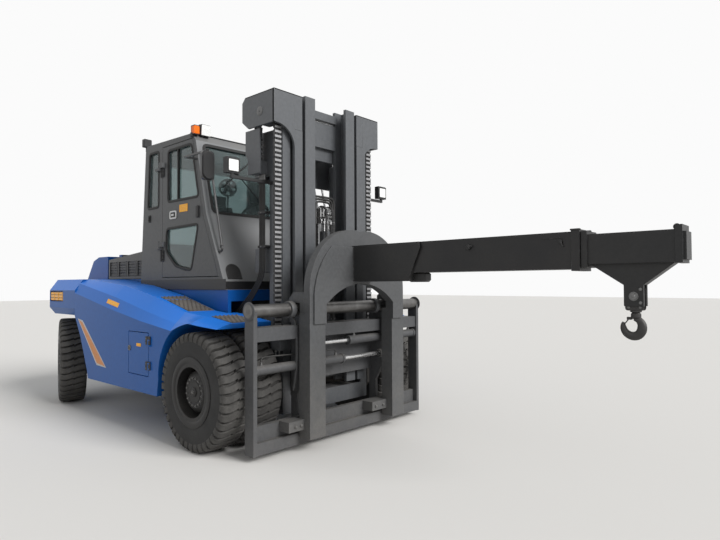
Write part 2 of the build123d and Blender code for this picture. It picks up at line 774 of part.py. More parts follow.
def screen_x(z, depth):
    """X of the windscreen's plane at a height, measured inward from the cab's front face."""
    return -589 - (z - 2357) * 211 / 843 - depth


def back_x(z, depth):
    """X of the cab's rear face at a height, measured inward."""
    return -2054 + (z - cab_floor_top) * 111 / 1630 + depth


with BuildPart() as cab_glass:
    for side in (-1, 1):
        outer = side * (cab_half_width - pane_depth)
        low, high = sorted((outer, outer - side * glass))
        side_plate(quarter_window, (low, high))
    side_plate(
        [
            (screen_x(windscreen_z[0], pane_depth), windscreen_z[0]),
            (screen_x(windscreen_z[0], pane_depth + glass), windscreen_z[0]),
            (screen_x(windscreen_z[1], pane_depth + glass), windscreen_z[1]),
            (screen_x(windscreen_z[1], pane_depth), windscreen_z[1]),
        ],
        (-windscreen_half, windscreen_half),
    )
    side_plate(
        [
            (back_x(rear_window_z[0], pane_depth), rear_window_z[0]),
            (back_x(rear_window_z[0], pane_depth + glass), rear_window_z[0]),
            (back_x(rear_window_z[1], pane_depth + glass), rear_window_z[1]),
            (back_x(rear_window_z[1], pane_depth), rear_window_z[1]),
        ],
        (-rear_window_half, rear_window_half),
    )

# Cab doors, hinged at their rear edges
door_hinge = (-1560.0, cab_half_width + 25.0)
door_knuckle_z = ((2032.0, 2092.0), (2982.0, 3042.0))


def lower_window_face(plane):
    """The lower door window, with its curved lower rear edge."""
    with BuildSketch(plane) as face:
        with BuildLine():
            Polyline((-1440, 1970), (-1430, 2240), (-745, 2250), (-885, 1740))
            ThreePointArc((-885, 1740), (-1220, 1795), (-1440, 1970))
        make_face()
    return face.sketch


with BuildPart() as door_right:
    side_plate(door_outline, (-cab_half_width, -cab_half_width + cab_wall))
    side_plate(upper_window, (-cab_half_width - 10, -cab_half_width + cab_wall + 10), Mode.SUBTRACT)
    window = lower_window_face(Plane.XZ.offset(cab_half_width - cab_wall - 10))
    extrude(window, amount=cab_wall + 20, mode=Mode.SUBTRACT)
    for z in door_knuckle_z:
        block((door_hinge[0], -1480), (-door_hinge[1] - 8, -cab_half_width), z)
        knuckle_ends = ((door_hinge[0], -door_hinge[1], z[0]), (door_hinge[0], -door_hinge[1], z[1]))
        bar(*knuckle_ends, 16)
        bar(*knuckle_ends, 8 + pin_gap, Mode.SUBTRACT)
door_left = mirrored(door_right)
with BuildPart() as door_glass_right:
    y = (-cab_half_width + pane_depth, -cab_half_width + pane_depth + glass)
    side_plate(upper_window, y)
    extrude(lower_window_face(Plane.XZ.offset(-y[1])), amount=glass)
door_glass_left = mirrored(door_glass_right)

# Driver's seat, dashboard and steering wheel
wheel_rim_radius = 190.0
wheel_rim_sides = 24
with BuildPart() as seat:
    block((-1560, -1080), (-250, 250), (2020, 2130))
    side_plate([(-1660, 2060), (-1545, 2060), (-1632, 2760), (-1720, 2760)], (-230, 230))
    block((-1500, -1120), (-190, 190), (cab_floor_top, 2020))
with BuildPart() as dashboard:
    side_plate(
        [(-480, cab_floor_top), (-640, cab_floor_top), (-780, 2180), (-760, 2300), (-660, 2300)],
        (-620, 620),
    )
    bar((-700, 0, 2250), (-890, 0, 2420), 28)
    wheel_axis = Vector(-190, 0, 170).normalized()
    wheel_centre = Vector(-890, 0, 2420)
    with BuildSketch(Plane(origin=wheel_centre - wheel_axis * 13, x_dir=(0, 1, 0), z_dir=wheel_axis)):
        RegularPolygon(wheel_rim_radius + 14, wheel_rim_sides)
        RegularPolygon(wheel_rim_radius - 14, wheel_rim_sides, mode=Mode.SUBTRACT)
    extrude(amount=26)
    bar((-890, -wheel_rim_radius + 5, 2420), (-890, wheel_rim_radius - 5, 2420), 11)

# Mast, outer stage: columns open inward, cross ties, pivot pins, tilt lugs and the chain brackets
outer_y = (530.0, 632.0)
outer_x = (195.0, 400.0)
outer_z = (280.0, 3160.0)
outer_web = 32.0
tilt_head_radius = 24.0
outer_flange = 34.0
tie_x = (-45.0, -15.0)
lift_x = 100.0
lift_y = 420.0
lift_barrel_radius = 65.0
lift_rod_radius = 45.0
lift_bottom = 800.0
lift_barrel_top = 2950.0
lift_rod_top = head_top - 212.0
chain_y = (645.0, 735.0)
bracket_y = (745.0, 765.0)
with BuildPart() as mast_outer:
    for side in (-1, 1):
        low, high = sorted((side * outer_y[0], side * outer_y[1]))
        block(outer_x, (low, high), outer_z)
        low, high = sorted((side * (outer_y[0] - 1), side * (outer_y[1] - outer_web)))
        block(
            (outer_x[0] + outer_flange, outer_x[1] - outer_flange),
            (low, high),
            (outer_z[0] - 1, outer_z[1] + 1),
            Mode.SUBTRACT,
        )
        low, high = sorted((side * (outer_y[1] - outer_web), side * outer_y[1]))
        for z in ((1700, 1950), (2700, outer_z[1])):
            block((tie_x[0], outer_x[0]), (low, high), z)
        low, high = sorted((side * 350, side * 600))
        block((30, outer_x[0]), (low, high), (lift_bottom - 40, lift_bottom))
        pin_end = side * (cheek_y[1] + 5)
        bar((pivot_x, side * (outer_y[1] - outer_web), pivot_z), (pivot_x, pin_end, pivot_z), pivot_pin_radius)
        for ear in ((530, 548), (612, 632)):
            low, high = sorted((side * ear[0], side * ear[1]))
            side_plate(
                [
                    (outer_x[0], 1090), (outer_x[0], 1310), (tilt_front[0] - 20, 1250),
                    (tilt_front[0] - 45, 1200), (tilt_front[0] - 20, 1150),
                ],
                (low, high),
            )
            head = side * (ear[1] if ear[0] > tilt_y else ear[0])
            away = 10 if ear[0] > tilt_y else -10
            bar(
                (tilt_front[0], head, tilt_front[1]),
                (tilt_front[0], head + side * away, tilt_front[1]),
                tilt_head_radius,
            )
        low, high = sorted((side * bracket_y[0], side * bracket_y[1]))
        side_plate(
            [(-35, 2920), (-35, 3165), (200, 3165), (200, 2711), (6, 2711), (6, 2851)],
            (low, high),
        )
        low, high = sorted((side * outer_y[1], side * bracket_y[0]))
        block((20, 150), (low, high), (2711, 2850))
    block(outer_x, (-outer_y[0], outer_y[0]), (outer_z[0], 450))
    for z in ((1700, 1950), (2700, 3050)):
        block(tie_x, (-outer_y[1], outer_y[1]), z)

with BuildPart() as lift_barrels:
    for side in (-1, 1):
        bar((lift_x, side * lift_y, lift_bottom), (lift_x, side * lift_y, lift_barrel_top), lift_barrel_radius)
        bar(
            (lift_x, side * lift_y, lift_bottom + 30),
            (lift_x, side * lift_y, lift_barrel_top + 1),
            lift_rod_radius + pin_gap,
            Mode.SUBTRACT,
        )

# Work lamps on arms from the outer stage
lamp_centre = (240.0, 1120.0, 2720.0)
with BuildPart() as mast_lamps:
    for side in (-1, 1):
        block((215, 245), (min(side * 632, side * 1135), max(side * 632, side * 1135)), (2600, 2630))
        block((225, 245), (min(side * 1105, side * 1135), max(side * 1105, side * 1135)), (2630, 2646))
        low, high = sorted((side * 1045, side * 1195))
        block((195, 255), (low, high), (2646, 2796))

# Mast, middle stage: columns with the sheave heads, and the main lift rods under the heads
middle_y = (415.0, 520.0)
middle_x = (240.0, mast_front)
middle_bottom = 500.0
middle_web = 30.0
head_y = 790.0
head_plate = 25.0
head_bottom = head_top - 332.0
head_leg_bottom = head_top - 642.0
sheave = (235.0, head_top - 187.0)
sheave_radius = 132.0
sheave_pin_radius = 30.0
with BuildPart() as mast_middle:
    for side in (-1, 1):
        low, high = sorted((side * middle_y[0], side * middle_y[1]))
        block(middle_x, (low, high), (middle_bottom, head_top))
        centre = side * (middle_y[0] + middle_y[1]) / 2
        for face in (middle_y[0], middle_y[1]):
            inner, outer = sorted((side * face, centre + (side if face > 470 else -side) * middle_web / 2))
            block(
                (middle_x[0] + 34, middle_x[1] - 34),
                (inner, outer),
                (middle_bottom - 1, head_top - 362),
                Mode.SUBTRACT,
            )
        with BuildSketch(Plane.YZ.offset(mast_front - head_plate)):
            with BuildLine():
                Polyline(
                    (side * 521, head_leg_bottom), (side * middle_y[1] - side, head_leg_bottom),
                    (side * middle_y[1] - side, head_top),
                    (side * head_y, head_top), (side * head_y, head_bottom), (side * (head_y - 40), head_bottom),
                )
                RadiusArc((side * (head_y - 40), head_bottom), (side * 521, head_leg_bottom), side * 330)
            make_face()
        extrude(amount=head_plate)
        low, high = sorted((side * (head_y - head_plate), side * head_y))
        side_plate(
            [
                (-60, head_top - 252), (-60, head_top - 52), (-10, head_top), (mast_front, head_top),
                (mast_front, head_bottom), (40, head_bottom),
            ],
            (low, high),
        )
        low, high = sorted((side * middle_y[0], side * head_y))
        block((-10, mast_front), (low, high), (head_top - 12, head_top))
        low, high = sorted((side * 350, side * middle_y[1]))
        block((40, middle_x[0]), (low, high), (lift_rod_top, lift_rod_top + 45))
        bar(
            (sheave[0], side * (middle_y[1] - 5), sheave[1]),
            (sheave[0], side * (head_y + 8), sheave[1]),
            sheave_pin_radius,
        )
    for z in ((550, 800), (1700, 1950), (head_top - 562, head_top - 312)):
        block((212, 245), (-middle_y[1], middle_y[1]), z)

with BuildPart() as lift_rods:
    for side in (-1, 1):
        bar((lift_x, side * lift_y, lift_bottom + 60), (lift_x, side * lift_y, lift_rod_top), lift_rod_radius)

with BuildPart() as chain_sheaves:
    for side in (-1, 1):
        ends = ((sheave[0], side * chain_y[0], sheave[1]), (sheave[0], side * chain_y[1], sheave[1]))
        bar(*ends, sheave_radius)
        bar(*ends, sheave_pin_radius + tyre_seat_gap, Mode.SUBTRACT)

# Main lift chains, each one outline: linked front run, the turn over the sheave and the rear run
chain_thick = 36.0
chain_front_end = 1030.0
chain_rear_end = 2850.0
chain_radius = sheave_radius + 0.3
chain_links = 26
link_gap = 11.0
turn_steps = 8


def half_turn(radius):
    """Corners of a chain's way over its sheave, from front to rear, flat sides clear of the radius."""
    corner = radius / cos(radians(90 / turn_steps))
    angles = [180 * (k + 0.5) / turn_steps for k in range(turn_steps)]
    return [(sheave[0] + corner * cos(radians(a)), sheave[1] + corner * sin(radians(a))) for a in angles]


with BuildPart() as main_chains:
    front_x = sheave[0] + chain_radius
    rear_x_end = sheave[0] - chain_radius
    link_pitch = (sheave[1] - chain_front_end) / chain_links
    linked = []
    for k in range(chain_links):
        z = chain_front_end + k * link_pitch
        linked += [(front_x + chain_thick, z), (front_x + chain_thick, z + link_pitch - link_gap)]
        linked += [(front_x + chain_thick - 14, z + link_pitch - link_gap), (front_x + chain_thick - 14, z + link_pitch)]
    points = linked + [(front_x + chain_thick, sheave[1])] + half_turn(chain_radius + chain_thick)
    points += [(rear_x_end - chain_thick, sheave[1]), (rear_x_end - chain_thick, chain_rear_end)]
    points += [(rear_x_end, chain_rear_end), (rear_x_end, sheave[1])] + half_turn(chain_radius)[::-1]
    points += [(front_x, sheave[1]), (front_x, chain_front_end)]
    for side in (-1, 1):
        side_plate(points, tuple(sorted((side * chain_y[0], side * chain_y[1]))))

# Mast, inner stage: columns open inward, top and bottom ties and the chain ears
inner_y = (235.0, 375.0)
inner_x = (255.0, mast_front)
inner_bottom = 500.0
ear_z = (930.0, 1030.0)
with BuildPart() as mast_inner:
    for side in (-1, 1):
        low, high = sorted((side * inner_y[0], side * inner_y[1]))
        block(inner_x, (low, high), (inner_bottom, mast_top))
        low, high = sorted((side * (inner_y[0] - 1), side * (inner_y[1] - 32)))
        block((inner_x[0] + 34, inner_x[1] - 34), (low, high), (inner_bottom - 1, mast_top + 1), Mode.SUBTRACT)
        low, high = sorted((side * inner_y[0], side * 745))
        block((464, 494), (low, high), ear_z)
        low, high = sorted((side * inner_y[0], side * inner_y[1]))
        block((mast_front, 464), (low, high), ear_z)
        low, high = sorted((side * 642, side * 745))
        block((360, 464), (low, high), (ear_z[0], ear_z[1]))
    block((255, 289), (-inner_y[1], inner_y[1]), (550, 800))
    block((255, 289), (-inner_y[1], inner_y[1]), (mast_top - 441, mast_top - 161))
    block((255, 320), (-inner_y[0], inner_y[0]), (mast_top - 146, mast_top - 58))

# Free-lift cylinder in the middle of the inner stage, with its chain wheel
free_x = 362.0
free_radius = 58.0
free_rod_radius = 40.0
free_bottom = 640.0
arm_z_range = (620.0, 1180.0)  # of the carriage's arms in the inner stage
free_top = 2150.0
free_wheel_z = 2350.0
free_wheel_radius = 66.0
free_collar_z = (1860.0, 1900.0)
with BuildPart() as free_lift_barrel:
    bar((free_x, 0, free_bottom), (free_x, 0, free_top), free_radius)
    bar((free_x, 0, free_bottom + 40), (free_x, 0, free_top + 1), free_rod_radius + pin_gap, Mode.SUBTRACT)
    block((289, free_x - 45), (-40, 40), (free_bottom, 720))
    block((free_x - 84, free_x - 45), (-70, 70), free_collar_z)
with BuildPart() as free_lift_rod:
    bar((free_x, 0, free_bottom + 80), (free_x, 0, 2230), free_rod_radius)
    block((free_x - 45, free_x + 45), (-100, 100), (2230, 2260))
    for y in (-90, 90):
        block((free_x - 30, free_x + 30), (y - 8, y + 8), (2260, 2400))
    bar((free_x, -98, free_wheel_z), (free_x, 98, free_wheel_z), 20)
    for y in (-50, 50):
        bar((free_x, y - 20, free_wheel_z), (free_x, y + 20, free_wheel_z), free_wheel_radius)

# Chains over the free-lift cylinder's wheels, from the barrel's collar to the carriage
free_chain_thick = 14.0
free_chain_reach = free_wheel_radius + 0.3
with BuildPart() as free_lift_chains:
    steps = [180 * (k + 0.5) / 6 for k in range(6)]
    path = [(free_x + free_chain_reach, arm_z_range[1]), (free_x + free_chain_reach, free_wheel_z)]
    for reach, turn in ((free_chain_reach, steps), (free_chain_reach + free_chain_thick, steps[::-1])):
        corner = reach / cos(radians(15))
        path += [(free_x + corner * cos(radians(a)), free_wheel_z + corner * sin(radians(a))) for a in turn]
        if turn is steps:
            path += [(free_x - reach, free_wheel_z), (free_x - reach, free_collar_z[1])]
            reach += free_chain_thick
            path += [(free_x - reach, free_collar_z[1]), (free_x - reach, free_wheel_z)]
    path += [(free_x + reach, free_wheel_z), (free_x + reach, arm_z_range[1])]
    for y in (-50, 50):
        side_plate(path, (y - 15, y + 15))

# Carriage sizes shared with what it carries
positioner_x = 655.0
positioner_low = 800.0
positioner_high = 985.0
positioner_radius = 45.0
positioner_rod_radius = 22.0
shaft_x = (carriage_front + carriage_rear) / 2

# Carriage: end plates, beams, uprights and the arms with rollers in the inner stage
with BuildPart() as carriage_frame:
    for side in (-1, 1):
        low, high = sorted((side * (carriage_half_width - end_plate), side * carriage_half_width))
        mid = shaft_x
        block((carriage_rear, carriage_front), (low, high), (55, shaft_z))
        bar((mid, low, shaft_z), (mid, high, shaft_z), (carriage_front - carriage_rear) / 2)
        low, high = sorted((side * 570, side * 610))
        with BuildSketch(Plane.XZ.offset(-high)):
            with BuildLine():
                Polyline((590, 500), (600, 60), (500, 60), (500, 1400), (620, 1400))
                ThreePointArc((620, 1400), (729, 980), (590, 500))
            make_face()
        extrude(amount=high - low)
        low, high = sorted((side * 190, side * 224))
        block((300, 530), (low, high), arm_z_range)
        low, high = sorted((side * 107, side * 190))
        block((305, 335), (low, high), (arm_z_range[1] - 20, arm_z_range[1]))
        for z in (680, 1120):
            low, high = sorted((side * 224, side * 335))
            bar((356, low, z), (356, high, z), 60)
    width = carriage_half_width - end_plate
    block((500, 530), (-610, 610), arm_z_range)
    block((free_x + 64, 500), (-80, 80), (arm_z_range[1] - 60, arm_z_range[1]))
    block((530, 700), (-width, width), (1060, 1185))
    block((605, carriage_front), (-width, width), (59, 168))
    block((605, 660), (-width, width), (168, 305))
    shaft_ends = ((mid, -carriage_half_width - 1, shaft_z), (mid, carriage_half_width + 1, shaft_z))
    bar(*shaft_ends, shaft_radius + tyre_seat_gap, Mode.SUBTRACT)
    for z in (positioner_low, positioner_high):
        bar((positioner_x, -625, z), (positioner_x, 625, z), positioner_radius + 6, Mode.SUBTRACT)

with BuildPart() as carriage_shaft:
    shaft_end = carriage_half_width + 12
    bar((mid, -shaft_end, shaft_z), (mid, shaft_end, shaft_z), shaft_radius)

# Fork positioning cylinders, idle while the jib is fitted
with BuildPart() as positioners:
    bar((positioner_x, -width, positioner_low), (positioner_x, -50, positioner_low), positioner_radius)
    bar((positioner_x, width, positioner_high), (positioner_x, 50, positioner_high), positioner_radius)
    bar((positioner_x, -50, positioner_low), (positioner_x, 569, positioner_low), positioner_rod_radius)
    bar((positioner_x, 50, positioner_high), (positioner_x, -569, positioner_high), positioner_rod_radius)

# Jib: two legs with an arched yoke, and the outer box of the boom
with BuildPart() as jib_frame:
    with BuildSketch(Plane.YZ.offset(leg_front - 85)):
        with BuildLine():
            Polyline((-leg_outer_y, 1200), (-leg_outer_y, 1500))
            ThreePointArc((-leg_outer_y, 1500), (-520, 1960), (0, 2115))
            ThreePointArc((0, 2115), (520, 1960), (leg_outer_y, 1500))
            Polyline((leg_outer_y, 1500), (leg_outer_y, 1200), (leg_inner_y, 1200), (leg_inner_y, 1380))
            ThreePointArc((leg_inner_y, 1380), (0, 1580), (-leg_inner_y, 1380))
            Polyline((-leg_inner_y, 1380), (-leg_inner_y, 1200), (-leg_outer_y, 1200))
        make_face()
    extrude(amount=85)
    with BuildSketch(Plane.YZ.offset(leg_front)):
        with BuildLine():
            Polyline((-doubler_y, 1200), (-doubler_y, 1480))
            ThreePointArc((-doubler_y, 1480), (-585, 1755), (-430, doubler_top))
            Line((-430, doubler_top), (430, doubler_top))
            ThreePointArc((430, doubler_top), (585, 1755), (doubler_y, 1480))
            Polyline((doubler_y, 1480), (doubler_y, 1200), (leg_inner_y, 1200), (leg_inner_y, 1380))
            ThreePointArc((leg_inner_y, 1380), (0, 1580), (-leg_inner_y, 1380))
            Polyline((-leg_inner_y, 1380), (-leg_inner_y, 1200), (-doubler_y, 1200))
        make_face()
    extrude(amount=doubler_thick)
    for y in lock_y:
        block((lock_rear, leg_rear + 65), y, (215, 310))
    for side in (-1, 1):
        low, high = sorted((side * leg_inner_y, side * leg_outer_y))
        block((leg_rear, leg_front), (low, high), (131, 1300))
    side_plate(
        [(leg_front - 5, 1600), (leg_front - 5, jib_top), (1709, jib_top), (1592, 1602)],
        (-jib_half_width - 20, jib_half_width + 20),
    )
    block((leg_front, 3130), (-jib_half_width, jib_half_width), (jib_bottom, jib_top))
    block((3095, 3157), (-jib_half_width - 12, jib_half_width + 12), (jib_bottom - 14, jib_top + 14))
    block((leg_front + 20, 3200), (-85, 85), (1705, 1937), Mode.SUBTRACT)
    block((3000, 3157), (-60, 60), (1700, 1729.7))
    for side in (-1, 1):
        low, high = sorted((side * 618, side * 705))
        side_plate(
            [
                (leg_front - 60, 1300), (leg_front - 60, 1500), (640, 1500), (580, 1440),
                (580, shaft_z + shaft_radius + tyre_seat_gap), (leg_rear, shaft_z + shaft_radius + tyre_seat_gap),
                (leg_rear, 1300),
            ],
            (low, high),
        )

# Telescopic inner boom with the hook sleeve, and the ears that the hook block hangs in
boom_half = 75.0
boom_z = (1730.0, 1920.0)
boom_rear = 1700.0
hook_x = 3505.0
hook_pin_z = 1480.0
hook_pin_radius = 16.0
with BuildPart() as jib_boom:
    block((boom_rear, jib_reach), (-boom_half, boom_half), boom_z)
    block((boom_rear, boom_rear + 120), (-60, 60), (1705.3, 1936.7))
    block((3190, 3780), (-90, 90), (1715, 1935))
    block((3162, 3205), (-105, 105), (1690, 1960))
    block((3780, 3825), (-100, 100), (1708, 1965))
    side_plate([(3206, 1716), (3774, 1716), (hook_x + 65, 1560), (hook_x - 65, 1560)], (-52, 52))
    for y in ((-52, -30), (30, 52)):
        block((hook_x - 65, hook_x + 65), y, (1410, 1560))
    bar((hook_x, -60, hook_pin_z), (hook_x, 60, hook_pin_z), hook_pin_radius)

# Hook block on its pin, and the hook that swivels in it
shank_radius = 18.0
with BuildPart() as hook_block:
    block((hook_x - 50, hook_x + 50), (-24, 24), (1385, 1525))
    bar((hook_x, -25, hook_pin_z), (hook_x, 25, hook_pin_z), hook_pin_radius + pin_gap, Mode.SUBTRACT)
    bar((hook_x, 0, 1384), (hook_x, 0, 1440), shank_radius + pin_gap, Mode.SUBTRACT)
with BuildPart() as hook:
    with BuildSketch(Plane.XZ.offset(-17)):
        with Locations((hook_x, 1243)):
            Circle(82)
        with Locations((hook_x - 4, 1250)):
            Circle(42, mode=Mode.SUBTRACT)
        with BuildLine():
            Polyline((hook_x - 4, 1250), (hook_x - 110, 1262), (hook_x - 110, 1360), (hook_x - 30, 1360), close=True)
        make_face(mode=Mode.SUBTRACT)
        with Locations((hook_x, 1340)):
            Rectangle(44, 70)
    extrude(amount=34)
    bar((hook_x, 0, 1360), (hook_x, 0, 1436), shank_radius)

# Tilt cylinders: barrels on the frame's pins, rods open at the mast's lugs
tilt_barrel_radius = 72.0
tilt_rod_radius = 26.0
tilt_barrel_length = 640.0
tilt_line = Vector(tilt_front[0] - tilt_rear[0], 0, tilt_front[1] - tilt_rear[1])
tilt_along = tilt_line.normalized()


def make_tilt_barrel(side):
    """A tilt cylinder's barrel with its rear eye."""
    rear = Vector(tilt_rear[0], side * tilt_y, tilt_rear[1])
    start = rear + tilt_along * 75
    end = rear + tilt_along * (75 + tilt_barrel_length)
    eye = ((rear.X, rear.Y - tilt_eye_half, rear.Z), (rear.X, rear.Y + tilt_eye_half, rear.Z))
    with BuildPart() as barrel:
        bar(tuple(start), tuple(end), tilt_barrel_radius)
        bar(tuple(rear), tuple(start + tilt_along), tilt_eye_half)
        bar(*eye, 55)
        bar(*eye, tilt_pin_radius + pin_gap, Mode.SUBTRACT)
        bar(tuple(start + tilt_along * 20), tuple(end + tilt_along), tilt_rod_radius + pin_gap, Mode.SUBTRACT)
    return barrel


def make_tilt_rod(side):
    """A tilt cylinder's rod with its front eye between the mast's lugs."""
    front = Vector(tilt_front[0], side * tilt_y, tilt_front[1])
    start = Vector(tilt_rear[0], side * tilt_y, tilt_rear[1]) + tilt_along * 260
    eye = ((front.X, front.Y - 25, front.Z), (front.X, front.Y + 25, front.Z))
    with BuildPart() as rod:
        bar(tuple(start), tuple(front), tilt_rod_radius)
        bar(*eye, 48)
    return rod


tilt_barrel_right = make_tilt_barrel(-1)
tilt_barrel_left = make_tilt_barrel(1)
tilt_rod_right = make_tilt_rod(-1)
tilt_rod_left = make_tilt_rod(1)

# Hoses from the frame rail up behind the right column to its chain bracket
hose_radius = 11.0
with BuildPart() as mast_hoses:
    for k in range(4):
        tube(
            [
                (-620 - 40 * k, -rail_y[1], 940), (-620 - 40 * k, -700, 940),
                (-150 - 16 * k, -700, 1290 + 20 * k), (132 - 24 * k, -680, 1700), (132 - 24 * k, -680, 2711),
            ],
            hose_radius,
            110,
            6,
        )

# Hoses over the free-lift cylinder's crosshead, down to the cross plate of the carriage's arms
with BuildPart() as carriage_hoses:
    for k in range(3):
        side_y = 118 + 26 * k
        top_z = 2480 + 26 * k
        tube(
            [
                (320, -side_y, arm_z_range[1]), (320, -side_y, top_z),
                (320, side_y, top_z), (320, side_y, arm_z_range[1]),
            ],
            hose_radius,
            100,
            6,
        )

# Handrails beside the windscreen, and the mirrors on their arms
rail_radius = 13.0
with BuildPart() as rails_mirrors:
    for side in (-1, 1):
        tube(
            [
                (screen_x(3060 - rail_radius, -0.2), side * 840, 3060), (-600, side * 840, 3060),
                (-335, side * 840, 1930), (-393.8, side * 840, 1930),
            ],
            rail_radius,
            30,
            8,
        )
        low, high = sorted((side * cab_half_width, side * 1030))
        block((-785, -762), (low, high), (2970, 2990))
        block((-785, -330), (min(side * 1010, side * 1030), max(side * 1010, side * 1030)), (2970, 2990))
        with BuildSketch(Plane.YZ.offset(-362)):
            with Locations((side * 1020, 2820)):
                RectangleRounded(150, 306, 42)
        extrude(amount=32)

# Beacon on the roof and the rear lamps in the counterweight's corners
with BuildPart() as lamps:
    side_plate([(-1220, 3296.9), (-1080, 3294.2), (-1080, 3310), (-1220, 3310)], (-670, -530))
    bar((-1150, -600, 3309), (-1150, -600, 3420), 60)
    for side in (-1, 1):
        low, high = sorted((side * (body_half_width - lamp_depth), side * (body_half_width - 2)))
        block((lamp_x[0] + 10, lamp_x[1] - 10), (low, high), (lamp_z[0] + 8, lamp_z[1] - 8))

pieces = {
    "cab_base": cab_base,
    "cab_glass": cab_glass,
    "cab_shell": cab_shell,
    "carriage_frame": carriage_frame,
    "carriage_hoses": carriage_hoses,
    "carriage_shaft": carriage_shaft,
    "chain_sheaves": chain_sheaves,
    "chassis_frame": chassis_frame,
    "counterweight": counterweight,
    "dashboard": dashboard,
    "door_glass_left": door_glass_left,
    "door_glass_right": door_glass_right,
    "door_left": door_left,
    "door_right": door_right,
    "drive_axle": drive_axle,
    "engine": engine,
    "engine_hood": engine_hood,
    "free_lift_barrel": free_lift_barrel,
    "free_lift_chains": free_lift_chains,
    "free_lift_rod": free_lift_rod,
    "hook": hook,
    "hook_block": hook_block,
    "jib_boom": jib_boom,
    "jib_frame": jib_frame,
    "knuckle_left": knuckle_left,
    "knuckle_right": knuckle_right,
    "lamps": lamps,
    "lift_barrels": lift_barrels,
    "lift_rods": lift_rods,
    "main_chains": main_chains,
    "mast_hoses": mast_hoses,
    "mast_inner": mast_inner,
    "mast_lamps": mast_lamps,
    "mast_middle": mast_middle,
    "mast_outer": mast_outer,
    "positioners": positioners,
    "rails_mirrors": rails_mirrors,
    "rear_grille": rear_grille,
    "rim_rear_left": rim_rear_left,
    "rim_rear_right": rim_rear_right,
    "rims_front_left": rims_front_left,
    "rims_front_right": rims_front_right,
    "seat": seat,
    "side_bodies": side_bodies,
    "side_door_left": side_door_left,
    "side_door_right": side_door_right,
    "steer_axle": steer_axle,
    "steer_link_left": steer_link_left,
    "steer_link_right": steer_link_right,
    "steer_rod": steer_rod,
    "step_pads": step_pads,
    "tilt_barrel_left": tilt_barrel_left,
    "tilt_barrel_right": tilt_barrel_right,
    "tilt_rod_left": tilt_rod_left,
    "tilt_rod_right": tilt_rod_right,
    "tyre_rear_left": tyre_rear_left,
    "tyre_rear_right": tyre_rear_right,
    "tyres_front_left": tyres_front_left,
    "tyres_front_right": tyres_front_right,
}
os.makedirs("parts", exist_ok=True)
for name, piece in pieces.items():
    piece.part.label = name
    export_step(piece.part, f"parts/{name}.step")
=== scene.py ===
"""Forklift truck with a crane jib on its carriage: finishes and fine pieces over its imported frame."""

import json
import logging
from collections.abc import Sequence
from dataclasses import dataclass, field
from enum import IntEnum
from math import cos, exp, pi, radians, sin, sqrt, tau

import bmesh
import bpy
from mathutils import Matrix, Vector

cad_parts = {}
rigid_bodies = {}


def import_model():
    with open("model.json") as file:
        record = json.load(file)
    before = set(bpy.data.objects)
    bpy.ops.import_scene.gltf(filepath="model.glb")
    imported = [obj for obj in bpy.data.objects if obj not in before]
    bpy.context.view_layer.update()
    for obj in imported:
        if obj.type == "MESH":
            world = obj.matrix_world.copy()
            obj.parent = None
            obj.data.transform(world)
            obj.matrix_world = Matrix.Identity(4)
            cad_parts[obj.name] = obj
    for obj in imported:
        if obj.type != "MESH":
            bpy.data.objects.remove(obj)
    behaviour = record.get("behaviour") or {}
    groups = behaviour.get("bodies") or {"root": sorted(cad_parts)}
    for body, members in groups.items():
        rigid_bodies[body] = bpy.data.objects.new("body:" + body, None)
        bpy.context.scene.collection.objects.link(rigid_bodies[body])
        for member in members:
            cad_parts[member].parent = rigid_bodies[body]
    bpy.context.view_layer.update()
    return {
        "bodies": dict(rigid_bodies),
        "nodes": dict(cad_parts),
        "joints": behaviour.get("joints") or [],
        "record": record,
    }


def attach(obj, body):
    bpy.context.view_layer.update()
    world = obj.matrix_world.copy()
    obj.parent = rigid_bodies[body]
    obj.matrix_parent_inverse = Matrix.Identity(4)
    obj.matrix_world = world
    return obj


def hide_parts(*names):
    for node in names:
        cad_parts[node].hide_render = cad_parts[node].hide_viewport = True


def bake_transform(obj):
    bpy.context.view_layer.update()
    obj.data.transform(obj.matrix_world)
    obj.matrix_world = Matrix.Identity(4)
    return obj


log = logging.getLogger("truck")

Colour = tuple[float, float, float]
Point = tuple[float, float, float]
Outline = Sequence[tuple[float, float]]
Socket = bpy.types.NodeSocket

UP = (0, 0, 1)
WHEEL_Z = 0.5625  # the wheels' centres above the ground


class Side(IntEnum):
    """The truck's two sides, each by the sign of the Y axis there."""

    RIGHT = -1
    LEFT = 1

    @property
    def label(self) -> str:
        """Returns the side's name as the frame's nodes end with it."""
        return self.name.lower()


